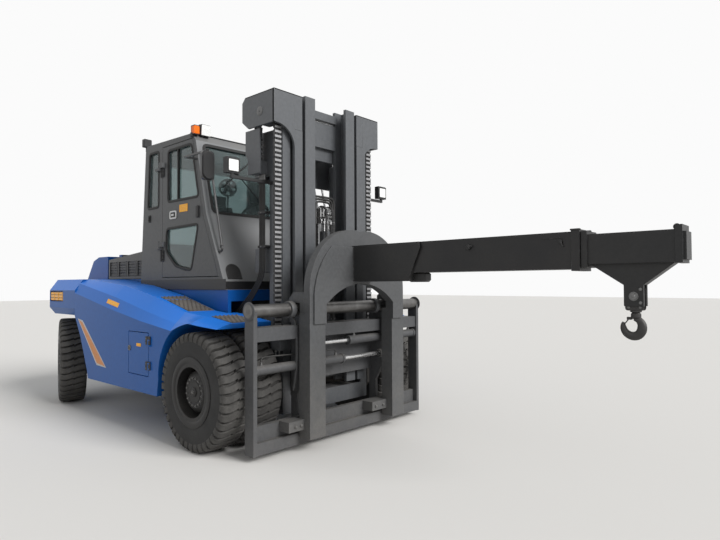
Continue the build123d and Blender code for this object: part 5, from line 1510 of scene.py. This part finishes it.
    def inside(self) -> None:
        """Builds the padded seat, its base, the wheel's grip, levers and gauges."""
        frame = Form()
        frame.slab((-1.5, -0.19, 1.632), (-1.12, 0.19, 1.7), 0, 0.006)
        for k in range(5):
            inset_by = 0.012 * (k % 2)
            frame.slab(
                (-1.49 + inset_by, -0.18 + inset_by, 1.7 + k * 0.062),
                (-1.13 - inset_by, 0.18 - inset_by, 1.762 + k * 0.062), 0, 0.012,
            )
        frame.slab((-1.55, -0.235, 2.01), (-1.1, 0.235, 2.04), 0, 0.006)
        for side in Side:
            frame.rod((-1.5, side * 0.262, 2.1), (-1.58, side * 0.262, 2.3), 0.012)
            frame.slab((-1.59, side * 0.235, 2.29), (-1.3, side * 0.295, 2.335), 0, 0.014)
        self.shop.make("seat_frame", frame, ["moulded_black"], "chassis")
        self.cushion("seat_base_cushion", Vector((-1.32, 0, 2.08)), (0.235, 0.245, 0.048), 0.0)
        self.cushion("seat_back_cushion", Vector((-1.635, 0, 2.36)), (0.27, 0.225, 0.05), radians(97))
        self.cushion("seat_head_cushion", Vector((-1.68, 0, 2.69)), (0.075, 0.13, 0.036), radians(97))
        desk = Form()
        axis = Vector((-190, 0, 170)).normalized()
        hub = Vector((-0.89, 0, 2.42))
        at = axis_frame(hub, axis, (0, 1, 0))
        desk.rings(torus(at, 0.19, 0.0165, 40, 10), 0, closed=True)
        desk.lathe(hub - axis * 0.016, axis, [(0, 0.034), (0.02, 0.04), (0.03, 0.034), (0.034, 0.02)], 24)
        for angle in (90, 210, 330):
            desk.rod(at @ polar(0.03, radians(angle)), at @ polar(0.185, radians(angle)), 0.01, 10)
        desk.rod(at @ Vector((-0.1, -0.162, 0.012)), at @ Vector((-0.1, -0.162, 0.062)), 0.017, 14)
        for k in range(4):
            y = -0.42 - k * 0.052
            desk.rod((-0.752, y, 2.26), (-0.8, y, 2.4), 0.006, 8, 1)
            desk.lathe(
                (-0.7985, y, 2.396), (-0.3, 0, 1),
                [(0, 0.008), (0.01, 0.017), (0.026, 0.019), (0.036, 0.012), (0.04, 0.004)], 14,
            )
        for y in (-0.16, 0.3, 0.16):
            desk.lathe(
                (-0.7735, y, 2.24), (-1, 0, 0.15), [(0, 0.04), (0.01, 0.04), (0.013, 0.035), (0.01, 0.033)], 24, 1,
            )
        self.shop.make("driving_controls", desk, ["moulded_black", "bolt_steel"], "chassis")

    def cushion(self, name: str, middle: Vector, half: Point, tilt: float) -> None:
        """Builds one crowned cushion with sewn channels and piping.

        Args:
            name: the piece's name.
            middle: its middle.
            half: half its depth, width and thickness.
            tilt: how far it is turned back about the truck's width.
        """
        mesh = bpy.data.meshes.new(name)
        shaped = bmesh.new()
        along, across = 26, 26
        matrix = Matrix.Translation(middle) @ Matrix.Rotation(-tilt, 4, "Y")
        grid: dict[tuple[int, int, int], bmesh.types.BMVert] = {}
        for face in (-1, 1):
            for i in range(along + 1):
                for j in range(across + 1):
                    u, v = 2 * i / along - 1, 2 * j / across - 1
                    pull = 1 - 0.035 * (1 - abs(u) ** 2) * (abs(v) > 0.999) - 0.02 * (abs(u * v) ** 6)
                    edge = max(abs(u), abs(v))
                    crown = (1 - edge ** 6) ** 0.5 if edge < 1 else 0.0
                    dome = 0.8 + 0.2 * (1 - u * u) * (1 - v * v)
                    seam = 1 - 0.16 * exp(
                        -((abs(v) - 0.55) / 0.035) ** 2
                    ) - 0.1 * exp(-((u % 0.5 - 0.25) / 0.03) ** 2) * (abs(v) < 0.55)
                    z = face * half[2] * crown * (dome * seam if face > 0 else 0.85)
                    grid[face, i, j] = shaped.verts.new(matrix @ Vector((u * half[0] * pull, v * half[1] * pull, z)))
            for i in range(along):
                for j in range(across):
                    quad = [grid[face, i, j], grid[face, i + 1, j], grid[face, i + 1, j + 1], grid[face, i, j + 1]]
                    shaped.faces.new(quad if face > 0 else quad[::-1])
        bmesh.ops.remove_doubles(shaped, verts=shaped.verts, dist=0.0002)
        bmesh.ops.recalc_face_normals(shaped, faces=shaped.faces)
        shaped.to_mesh(mesh)
        shaped.free()
        mesh.shade_smooth()
        piece = link(name, mesh)
        piece.modifiers.new("smooth_skin", "SUBSURF").render_levels = 1
        self.shop.finish(piece, ["seat_cloth"], "chassis")
        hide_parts("seat")

    def build(self) -> None:
        """Builds the cab's pieces and dresses its nodes."""
        for side in Side:
            self.door(side)
            self.shop.dress(f"door_{side.label}", "cab_grey")
            self.shop.dress(f"door_glass_{side.label}", "tinted_glass")
        self.shell()
        self.roof_lamps()
        self.fan()
        self.mirrors()
        self.inside()
        self.shop.dress("cab_shell", "cab_grey")
        self.shop.dress("cab_glass", "tinted_glass")
        self.shop.dress("dashboard", "trim_enamel")
        self.shop.dress("rails_mirrors", "rail_enamel")


def rounded(outline: Outline, radius: float, steps: int = 5) -> list[tuple[float, float]]:
    """Returns an outline with its corners rounded.

    Args:
        outline: the corners in order.
        radius: how far from each corner its curve starts.
        steps: the number of points on each curve.

    Returns:
        The outline's new points.
    """
    curve = []
    for k, corner in enumerate(outline):
        here, before, after = Vector(corner), Vector(outline[k - 1]), Vector(outline[(k + 1) % len(outline)])
        start = here + (before - here).normalized() * min(radius, (before - here).length * 0.45)
        end = here + (after - here).normalized() * min(radius, (after - here).length * 0.45)
        for j in range(steps):
            share = j / (steps - 1)
            curve.append(tuple(start.lerp(here, share).lerp(here.lerp(end, share), share)))
    return curve


def smooth_rows(rows: Sequence[Sequence[float]], steps: int) -> list[list[float]]:
    """Returns rows of sizes with smoothly changing rows between them.

    Args:
        rows: the known rows, in order.
        steps: how many rows stand for each gap.

    Returns:
        All the rows, the known ones among them.
    """
    full = []
    for k in range(len(rows) - 1):
        points = [rows[max(k - 1, 0)], rows[k], rows[k + 1], rows[min(k + 2, len(rows) - 1)]]
        for j in range(steps):
            t = j / steps
            weights = (-t + 2 * t * t - t ** 3, 2 - 5 * t * t + 3 * t ** 3, t + 4 * t * t - 3 * t ** 3, t ** 3 - t * t)
            full.append([0.5 * sum(w * p[i] for w, p in zip(weights, points)) for i in range(len(rows[0]))])
    return [*full, list(rows[-1])]


@dataclass
class Chain:
    """A leaf chain over one wheel: its way, its plates and its pins."""

    wheel: tuple[float, float]
    reach: float
    front_end: float
    rear_end: float
    pitch: float
    plate: float
    layers: int
    barred: bool = False

    def spot(self, along: float) -> Vector:
        """Returns the point on the chain's way, at a distance from its front end."""
        front = self.wheel[1] - self.front_end
        turn = pi * self.reach
        if along < front:
            return Vector((self.wheel[0] + self.reach, self.front_end + along))
        if along < front + turn:
            angle = (along - front) / self.reach
            return Vector(self.wheel) + polar(self.reach, angle).xy
        return Vector((self.wheel[0] - self.reach, self.wheel[1] - (along - front - turn)))

    def add(self, form: Form, middle: float, half: float) -> None:
        """Adds the chain's links between two planes across the truck.

        Args:
            form: what the links are added to.
            middle: the chain's middle across the truck.
            half: half its width.
        """
        length = self.wheel[1] - self.front_end + pi * self.reach + self.wheel[1] - self.rear_end
        count = int(length / self.pitch)
        outline = stadium(self.pitch / 2, self.plate, waist=self.plate * 0.42)
        thick = 2 * half / self.layers
        for k in range(count):
            place = self.spot((k + 0.5) * length / count)
            pin = self.spot(k * length / count)
            after = self.spot((k + 1) * length / count)
            run = (after - pin).normalized()
            at = axis_frame((place.x, middle, place.y), (0, 1, 0), (run.x, 0, run.y))
            for layer in range(k % 2, self.layers, 2):
                low = -half + layer * thick
                form.prism(outline, at, low + 0.0004, low + thick - 0.0004)
            form.rod((pin.x, middle - half - 0.002, pin.y), (pin.x, middle + half + 0.002, pin.y), self.plate * 0.36, 8)
            # bright bars at each pin: painted highlights of the plates' rounded ends
            if self.barred:
                across = axis_frame((pin.x, middle, pin.y), (0, 1, 0), (run.x, 0, run.y))
                deep, tall = self.plate * 1.02, self.pitch * 0.24
                form.prism(
                    [(-tall, -deep), (tall, -deep), (tall, deep), (-tall, deep)], across, 0.002 - half, half - 0.002,
                    1, 0.002,
                )


@dataclass
class Mast:
    """The middle stage with its heads, the chains, hoses and lamps of the mast."""

    shop: Shop
    front: float = 0.4585
    chain_y: float = 0.69
    line_x: float = 0.17
    line_pitch: float = 0.024
    arm_x: float = 0.333
    arm_y: float = 0.118
    arm_pitch: float = 0.026
    sheave: tuple[float, float] = (0.235, 3.325)
    middle_bottom: float = 0.5
    head_top: float = 3.512
    head_bottom: float = 3.18
    head_y: float = 0.79
    arc_radius: float = 0.235
    arc_drop: float = 0.225

    def chains(self) -> None:
        """Builds the main chains and the free-lift chains."""
        main = Form()
        links = Chain(self.sheave, 0.1503, 1.035, 2.86, 0.0475, 0.0172, 9, barred=True)
        for y in (-self.chain_y, self.chain_y):
            links.add(main, y, 0.043)
            for x, z in ((0.3853, 1.035), (0.0847, 2.86)):
                main.slab((x - 0.016, y - 0.03, z - 0.005), (x + 0.016, y + 0.03, z + 0.055), 0, 0.003)
        self.shop.make("main_leaf_chains", main, ["chain_plates", "chain_bars"], "mast_middle", ["main_chains"])
        free = Form()
        links = Chain((0.362, 2.35), 0.0733, 1.185, 1.905, 0.0191, 0.0066, 5)
        for y in (-0.05, 0.05):
            links.add(free, y, 0.0142)
            free.slab((0.4285, y - 0.012, 1.18), (0.4425, y + 0.012, 1.215))
            free.slab((0.2825, y - 0.012, 1.9), (0.2955, y + 0.012, 1.935))
        self.shop.make("free_leaf_chains", free, ["chain_plates"], "free_lift_rod", ["free_lift_chains"])

    def anchors(self) -> None:
        """Builds the chains' threaded anchors under the inner stage's ears."""
        ears = Form()
        for y in (-self.chain_y, self.chain_y):
            for dy in (-0.022, 0.022):
                ears.bolt((0.3853, y + dy, 0.93), (0, 0, -1), 0.026, 0.022)
                ears.rod((0.3853, y + dy, 0.925), (0.3853, y + dy, 0.875), 0.008)
        self.shop.make("chain_anchors_inner", ears, ["bolt_steel"], "mast_inner")

    def middle_stage(self) -> None:
        """Builds the middle stage: two grooved columns, the ties and the hollowed sheave heads."""
        form = Form()
        low, high, front = self.middle_bottom, self.head_top, self.front
        groove_end = high - 0.362
        for side in Side:
            upright = Matrix.Diagonal((1, side, 1, 1))
            profile = [
                (0.24, 0.415), (0.274, 0.415), (0.274, 0.4525), (0.4245, 0.4525), (0.4245, 0.415), (front, 0.415),
                (front, 0.52), (0.4245, 0.52), (0.4245, 0.4825), (0.274, 0.4825), (0.274, 0.52), (0.24, 0.52),
            ]
            form.prism(profile, upright, low, groove_end)
            form.slab((0.24, side * 0.415, groove_end), (front, side * 0.52, high), 0, 0.003)
            arc = []
            for k in range(15):
                turn = pi / 2 * k / 14
                arc.append(
                    (
                        0.521 + self.arc_radius - self.arc_radius * cos(turn),
                        self.head_bottom - self.arc_drop + self.arc_drop * sin(turn),
                    )
                )
            outline = [
                *arc, (self.head_y, self.head_bottom), (self.head_y, high), (0.519, high),
                (0.519, self.head_bottom - self.arc_drop),
            ]
            facing = Matrix(((0, 0, 1, 0), (side, 0, 0, 0), (0, 1, 0, 0), (0, 0, 0, 1)))
            form.prism(outline, facing, front - 0.025, front, 0, 0.0015)
            plate = [
                (-0.06, high - 0.252), (-0.06, high - 0.052), (-0.01, high), (front - 0.003, high),
                (front - 0.003, self.head_bottom), (0.04, self.head_bottom),
            ]
            form.prism(plate, beside(side), self.head_y - 0.025, self.head_y, 0, 0.002)
            form.slab((-0.01, side * 0.415, high - 0.012), (front, side * self.head_y, high))
            form.slab((0.04, side * 0.35, 3.3), (0.24, side * 0.52, 3.345), 0, 0.003)
            form.rod((0.235, side * 0.515, 3.325), (0.235, side * 0.798, 3.325), 0.03, 28)
            form.lathe(
                (0.235, side * 0.79, 3.325), (0, side, 0),
                [(0, 0.046), (0.004, 0.046), (0.006, 0.043), (0.006, 0.033), (0.009, 0.031)], 32, 1,
            )
            form.bolt((0.235, side * 0.796, 3.325), (0, side, 0), 0.02, 0.008, 1)
            form.rod(
                (front - 0.002, side * 0.785, self.head_bottom + 0.004), (front - 0.002, side * 0.785, high - 0.004),
                0.005, 8,
            )
        for bottom, top in ((0.55, 0.8), (1.7, 1.95), (high - 0.562, high - 0.312)):
            form.slab((0.212, -0.52, bottom), (0.245, 0.52, top), 0, 0.003)
        self.shop.make("middle_stage", form, ["mast_enamel", "bolt_steel"], "mast_middle", ["mast_middle"])

    def hoses(self) -> None:
        """Lays the fixed hydraulic lines with their clamps and unions."""
        lines = []
        for k in range(4):
            lines.append([
                (-0.62 - 0.04 * k, -0.43, 0.94), (-0.62 - 0.04 * k, -0.62, 0.94), (-0.6 - 0.04 * k, -0.7, 0.95),
                (-0.15 - 0.016 * k, -0.7, 1.29 + 0.02 * k), (0.02 - 0.02 * k, -0.69, 1.46 + 0.01 * k),
                (0.166 - self.line_pitch * k, -0.68, 1.66),
                *((self.line_x - self.line_pitch * k, -0.68, z) for z in (1.9, 2.711)),
            ])
        self.shop.bent_hose(
            "mast_lines", lines, 0.009, "hose_skin", ("chassis", "mast_outer"), (-0.38, -0.7, 1.08),
            (0.09, -0.69, 1.58), ["mast_hoses"],
        )
        lines = []
        for k in range(3):
            half, top = self.arm_y + self.arm_pitch * k, 2.48 + self.arm_pitch * k
            leg = [
                (half, 1.18), (half, 1.6), (half, 2.25), (half, top - 0.07), (half - 0.015, top - 0.01),
                (half - 0.075, top),
            ]
            way = [(-y, z) for y, z in leg] + leg[::-1]
            lines.append([(self.arm_x, y, z) for y, z in way])
        self.shop.hose("carriage_lines", lines, 0.0125, "hose_skin", "free_lift_rod", ["carriage_hoses"])
        clamps, unions = Form(), Form()
        for z in (1.95, 2.3, 2.62):
            clamps.slab((0.078, -0.697, z), (0.205, -0.63, z + 0.028), 0, 0.004)
            clamps.bolt((0.133, -0.697, z + 0.014), (0, -1, 0), 0.012, 0.007, 1)
        for k in range(4):
            x = self.line_x - self.line_pitch * k
            clamps.lathe((x, -0.68, 2.655), UP, [(0, 0.0105), (0.0, 0.0125), (0.05, 0.0125), (0.05, 0.0105)], 6, 1)
            unions.lathe(
                (-0.62 - 0.04 * k, -0.432, 0.94), (0, -1, 0),
                [(0, 0.016), (0.022, 0.016), (0.022, 0.013), (0.055, 0.013)], 6,
            )
        self.shop.make("line_clamps", clamps, ["moulded_black", "bolt_steel"], "mast_outer")
        self.shop.make("line_unions", unions, ["bolt_steel"], "chassis")
        thin = Form()
        for k in range(3):
            for side in Side:
                y = side * (self.arm_y + self.arm_pitch * k)
                thin.lathe((self.arm_x, y, 1.182), UP, [(0, 0.015), (0.02, 0.015), (0.02, 0.0125), (0.052, 0.0125)], 6)
        self.shop.make("arm_unions", thin, ["bolt_steel"], "free_lift_rod")

    def lamps(self) -> None:
        """Adds the faces and rims of the mast's work lamps."""
        form = Form()
        for y in (-1.12, 1.12):
            face = axis_frame((0.255, y, 2.721), (1, 0, 0), UP)
            square = rounded([(-0.066, -0.066), (0.066, -0.066), (0.066, 0.066), (-0.066, 0.066)], 0.018, 4)
            form.prism(square, face, -0.002, 0.006, 0, 0.003)
            form.prism(inset(square, 0.011), face, 0.0, 0.0075, 1, 0.0015)
            for k in range(5):
                form.slab((0.197, y - 0.06 + k * 0.028, 2.7965), (0.25, y - 0.052 + k * 0.028, 2.803), 0, 0.001)
            form.bolt((0.235, y, 2.646), (0, 0, -1), 0.018, 0.01, 2)
        self.shop.make("mast_lamp_faces", form, ["moulded_black", "clear_lens", "bolt_steel"], "mast_outer")

    def build(self) -> None:
        """Builds the mast's pieces and dresses its nodes."""
        self.chains()
        self.anchors()
        self.middle_stage()
        self.hoses()
        self.lamps()
        for node in ("mast_outer", "mast_inner", "lift_barrels", "free_lift_barrel", "chain_sheaves"):
            self.shop.dress(node, "mast_enamel")
        for node in ("lift_rods", "free_lift_rod", "tilt_rod_right", "tilt_rod_left"):
            self.shop.dress(node, "bright_rod")
        for node in ("tilt_barrel_right", "tilt_barrel_left"):
            self.shop.dress(node, "frame_enamel")
        self.shop.dress("mast_lamps", "moulded_black")


@dataclass
class Carriage:
    """Fasteners and unions of the carriage, the jib's welds and its hook."""

    shop: Shop
    shaft_x: float = 0.6525
    shaft_z: float = 1.335
    hook_x: float = 3.505
    hook_z: float = 1.262
    hook_rows: tuple[tuple[float, float, float, float], ...] = (
        (82, 0.062, 0.042, 0.022), (60, 0.061, 0.046, 0.024), (30, 0.059, 0.056, 0.025), (0, 0.0575, 0.064, 0.026),
        (-35, 0.06, 0.067, 0.027),
        (-75, 0.0655, 0.064, 0.027), (-115, 0.066, 0.058, 0.026), (-150, 0.0665, 0.05, 0.023),
        (-180, 0.068, 0.04, 0.019), (-205, 0.0715, 0.022, 0.012),
    )

    def carriage(self) -> None:
        """Adds the shaft's collars and end caps, the curved guards and the positioners' unions and rods."""
        form = Form()
        for side in Side:
            out = (0, side, 0)
            form.lathe(
                (self.shaft_x, side * 1.234, self.shaft_z), out,
                [(0, 0.084), (0.006, 0.084), (0.009, 0.078), (0.009, 0.03), (0.012, 0.027)], 32, 2,
            )
            for low, high in ((0.445, 0.5), (0.735, 0.792)):
                rows = [
                    (low, 0.0628), (low, 0.079), (low + 0.006, 0.082), (high - 0.006, 0.082), (high, 0.079),
                    (high, 0.0628),
                ]
                form.lathe((self.shaft_x, 0, self.shaft_z), out, rows, 36, 2)
            guard = [
                (0.6, 1.265), (0.64, 1.262), (0.672, 1.225), (0.694, 1.15), (0.706, 1.04), (0.708, 0.9), (0.7, 0.78),
                (0.684, 0.68), (0.664, 0.6), (0.648, 0.56), (0.64, 0.56), (0.652, 0.64), (0.668, 0.74), (0.68, 0.86),
                (0.682, 0.98), (0.674, 1.08), (0.652, 1.16), (0.628, 1.205), (0.6, 1.215),
            ]
            form.prism(guard, beside(side), 0.69, 0.718, 2, 0.002)
        for z, sign in ((0.8, -1), (0.985, 1)):
            for y in (1.1, 0.14):
                form.lathe(
                    (0.655, sign * y, z + 0.04), UP, [(0, 0.017), (0.014, 0.017), (0.014, 0.013), (0.03, 0.013)], 6,
                )
            form.lathe(
                (0.655, sign * 0.052, z), (0, sign, 0),
                [(-0.014, 0.024), (-0.014, 0.049), (-0.01, 0.051), (0.012, 0.051), (0.012, 0.0455)], 28, 2,
            )
            form.lathe(
                (0.655, sign * 1.19, z), (0, sign, 0),
                [(-0.03, 0.0455), (-0.03, 0.051), (-0.002, 0.051), (-0.002, 0.0455)], 28, 2,
            )
            form.rod((0.655, sign * 0.049, z), (0.655, -sign * 0.5685, z), 0.0226, 24, 1)
        self.shop.make("carriage_fittings", form, ["bolt_steel", "bright_rod", "carriage_enamel"], "carriage")
        lines = [
            [
                (0.655, -1.1, 0.868), (0.652, -1.1, 0.905), (0.64, -1.05, 0.915), (0.625, -0.8, 0.905),
                (0.62, -0.64, 0.9),
            ],
            [
                (0.655, -0.14, 0.868), (0.652, -0.14, 0.902), (0.64, -0.19, 0.905), (0.625, -0.42, 0.9),
                (0.62, -0.54, 0.9),
            ],
            [(0.655, 1.1, 1.052), (0.65, 1.1, 1.08), (0.635, 1.05, 1.078), (0.62, 0.8, 1.06), (0.615, 0.64, 1.04)],
            [(0.655, 0.14, 1.052), (0.65, 0.14, 1.08), (0.635, 0.19, 1.078), (0.62, 0.42, 1.06), (0.615, 0.54, 1.04)],
        ]
        self.shop.hose("positioner_lines", lines, 0.007, "hose_skin", "carriage")

    def jib(self) -> None:
        """Adds the jib's cheek plates, weld beads, lock bolts and the fittings along its boom."""
        form = Form()
        cheek = [
            (0.9025, 1.6), (1.585, 1.605), (1.722, 1.905), (1.722, 1.925), (1.712, 1.942), (1.694, 1.95),
            (0.9025, 1.95),
        ]
        for side in Side:
            form.prism(cheek, beside(side), 0.1275, 0.1315, 1, 0.0015)
            form.rod((0.903, side * 0.13, 1.604), (0.903, side * 0.13, 1.948), 0.006, 8, 1)
            form.slab((3.088, side * 0.1, 1.968), (3.164, side * 0.126, 1.982), 1, 0.005)
            form.rod((2.215, side * 0.107, 1.885), (2.215, side * 0.128, 1.885), 0.024, 18, 1)
            form.rod((2.215, side * 0.126, 1.885), (2.255, side * 0.126, 1.893), 0.008, 8, 1)
            form.rod((2.865, side * 0.108, 1.918), (3.03, side * 0.108, 1.918), 0.004, 8, 1)
            form.rod((3.012, side * 0.107, 1.89), (3.012, side * 0.124, 1.89), 0.016, 16, 1)
            form.rod((3.012, side * 0.12, 1.89), (3.034, side * 0.12, 1.852), 0.006, 8, 1)
        form.slab((1.53, -0.062, 1.592), (1.724, 0.062, 1.684), 1, 0.018)
        for y in (-0.82, -0.75, 0.33, 0.45):
            form.bolt((0.8, y, 0.262), (1, 0, 0), 0.026, 0.016)
        self.shop.make("jib_cheeks", form, ["bolt_steel", "boom_enamel"], "carriage")
        tip = Form()
        for side in Side:
            tip.bolt((self.hook_x, side * 0.052, 1.48), (0, side, 0), 0.046, 0.014)
            for z in (1.435, 1.53):
                tip.bolt((self.hook_x + 0.045, side * 0.052, z), (0, side, 0), 0.016, 0.008)
            tip.rod((3.186, side * 0.094, 1.725), (3.186, side * 0.094, 1.925), 0.005, 8, 1)
        eye = Matrix.Translation((3.772, 0, 1.958)) @ beside(Side.LEFT)
        tip.rings(torus(eye, 0.017, 0.006, 20, 8), 1, closed=True)
        self.shop.make("boom_fittings", tip, ["bolt_steel", "boom_enamel"], "jib_boom")

    def hook(self) -> None:
        """Builds the forged hook with its safety latch, in place of the plain one."""
        form = Form()
        rings = []
        rows = smooth_rows(self.hook_rows, 6)
        for angle, radius, deep, thick in rows:
            a = radians(angle)
            outward = Vector((cos(a), 0, sin(a)))
            middle = Vector((self.hook_x - 0.018, 0, self.hook_z)) + outward * radius
            ring = []
            for j in range(14):
                b = tau * j / 14
                inner = 1.0 + 0.22 * max(0.0, -cos(b))
                ring.append(middle + outward * (deep / 2 * cos(b)) + Vector((0, thick * inner * sin(b), 0)))
            rings.append(ring)
        form.rings(rings)
        form.lathe(
            (self.hook_x, 0, 1.318), UP,
            [(0, 0.022), (0.012, 0.034), (0.036, 0.034), (0.048, 0.025), (0.054, 0.021), (0.118, 0.0205)], 24,
        )
        form.lathe((self.hook_x, 0, 1.366), UP, [(0, 0.03), (0.002, 0.038), (0.014, 0.038), (0.016, 0.032)], 24)
        form.slab((self.hook_x - 0.06, -0.012, 1.312), (self.hook_x - 0.026, 0.012, 1.332), 0, 0.003)
        form.rod((self.hook_x - 0.088, 0, 1.266), (self.hook_x - 0.042, 0, 1.326), 0.0042, 8)
        self.shop.make("forged_hook", form, ["hook_forging"], "hook", ["hook"])

    def block(self) -> None:
        """Adds side cheeks to the hook's block."""
        form = Form()
        for side in Side:
            x = self.hook_x
            cheek = rounded(
                [
                    (x - 0.062, 1.378), (x + 0.058, 1.378), (x + 0.062, 1.41), (x + 0.062, 1.54), (x - 0.066, 1.54),
                    (x - 0.066, 1.41),
                ],
                0.02, 4,
            )
            form.prism(cheek, beside(side), 0.0235, 0.029, 0, 0.0015)
            form.bolt((x - 0.04, side * 0.0285, 1.402), (0, side, 0), 0.014, 0.006, 1)
            form.bolt((x + 0.036, side * 0.0285, 1.402), (0, side, 0), 0.014, 0.006, 1)
        self.shop.make("hook_block_cheeks", form, ["hook_forging", "bolt_steel"], "hook_block")

    def build(self) -> None:
        """Builds the carriage's pieces and dresses its nodes."""
        self.carriage()
        self.jib()
        self.hook()
        self.block()
        self.shop.dress("carriage_frame", "carriage_enamel")
        self.shop.dress("positioners", "carriage_enamel")
        self.shop.dress("carriage_shaft", "shaft_bar")
        self.shop.dress("jib_frame", "jib_enamel")
        self.shop.dress("jib_boom", "boom_enamel")
        self.shop.dress("hook_block", "hook_forging")


@dataclass
class Underbody:
    """The frame, axles and steering below the body."""

    shop: Shop
    finishes: dict[str, str] = field(default_factory=lambda: {
        "chassis_frame": "frame_enamel", "drive_axle": "axle_enamel", "steer_axle": "axle_enamel",
        "engine": "engine_enamel", "steer_rod": "bright_rod", "steer_link_right": "frame_enamel",
        "steer_link_left": "frame_enamel", "knuckle_right": "axle_enamel", "knuckle_left": "axle_enamel",
    })

    def axle_bolts(self) -> None:
        """Adds bolts round the drive axle's case and its ends."""
        form = Form()
        for side in Side:
            for k in range(12):
                spot = Vector((-0.062, 0.13, WHEEL_Z)) + beside(Side.LEFT) @ polar(0.155, tau * k / 12)
                form.bolt((spot.x, side * spot.y, spot.z), (0, side, 0), 0.018, 0.01)
        self.shop.make("axle_case_bolts", form, ["bolt_steel"], "chassis")

    def build(self) -> None:
        """Dresses the nodes and adds the bolts."""
        for node, finish in self.finishes.items():
            self.shop.dress(node, finish)
        self.axle_bolts()


def main() -> None:
    """Builds the stage and the truck's pieces in order."""
    logging.basicConfig(level=logging.INFO, format="%(name)s: %(message)s")
    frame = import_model()
    Stage().build()
    shop = Shop(frame, Stock(Effects()))
    for part in (Wheels(shop), Body(shop), Cab(shop), Mast(shop), Carriage(shop), Underbody(shop)):
        part.build()
        log.info("%s is built", type(part).__name__)
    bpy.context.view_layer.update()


if __name__ == "__main__":
    main()
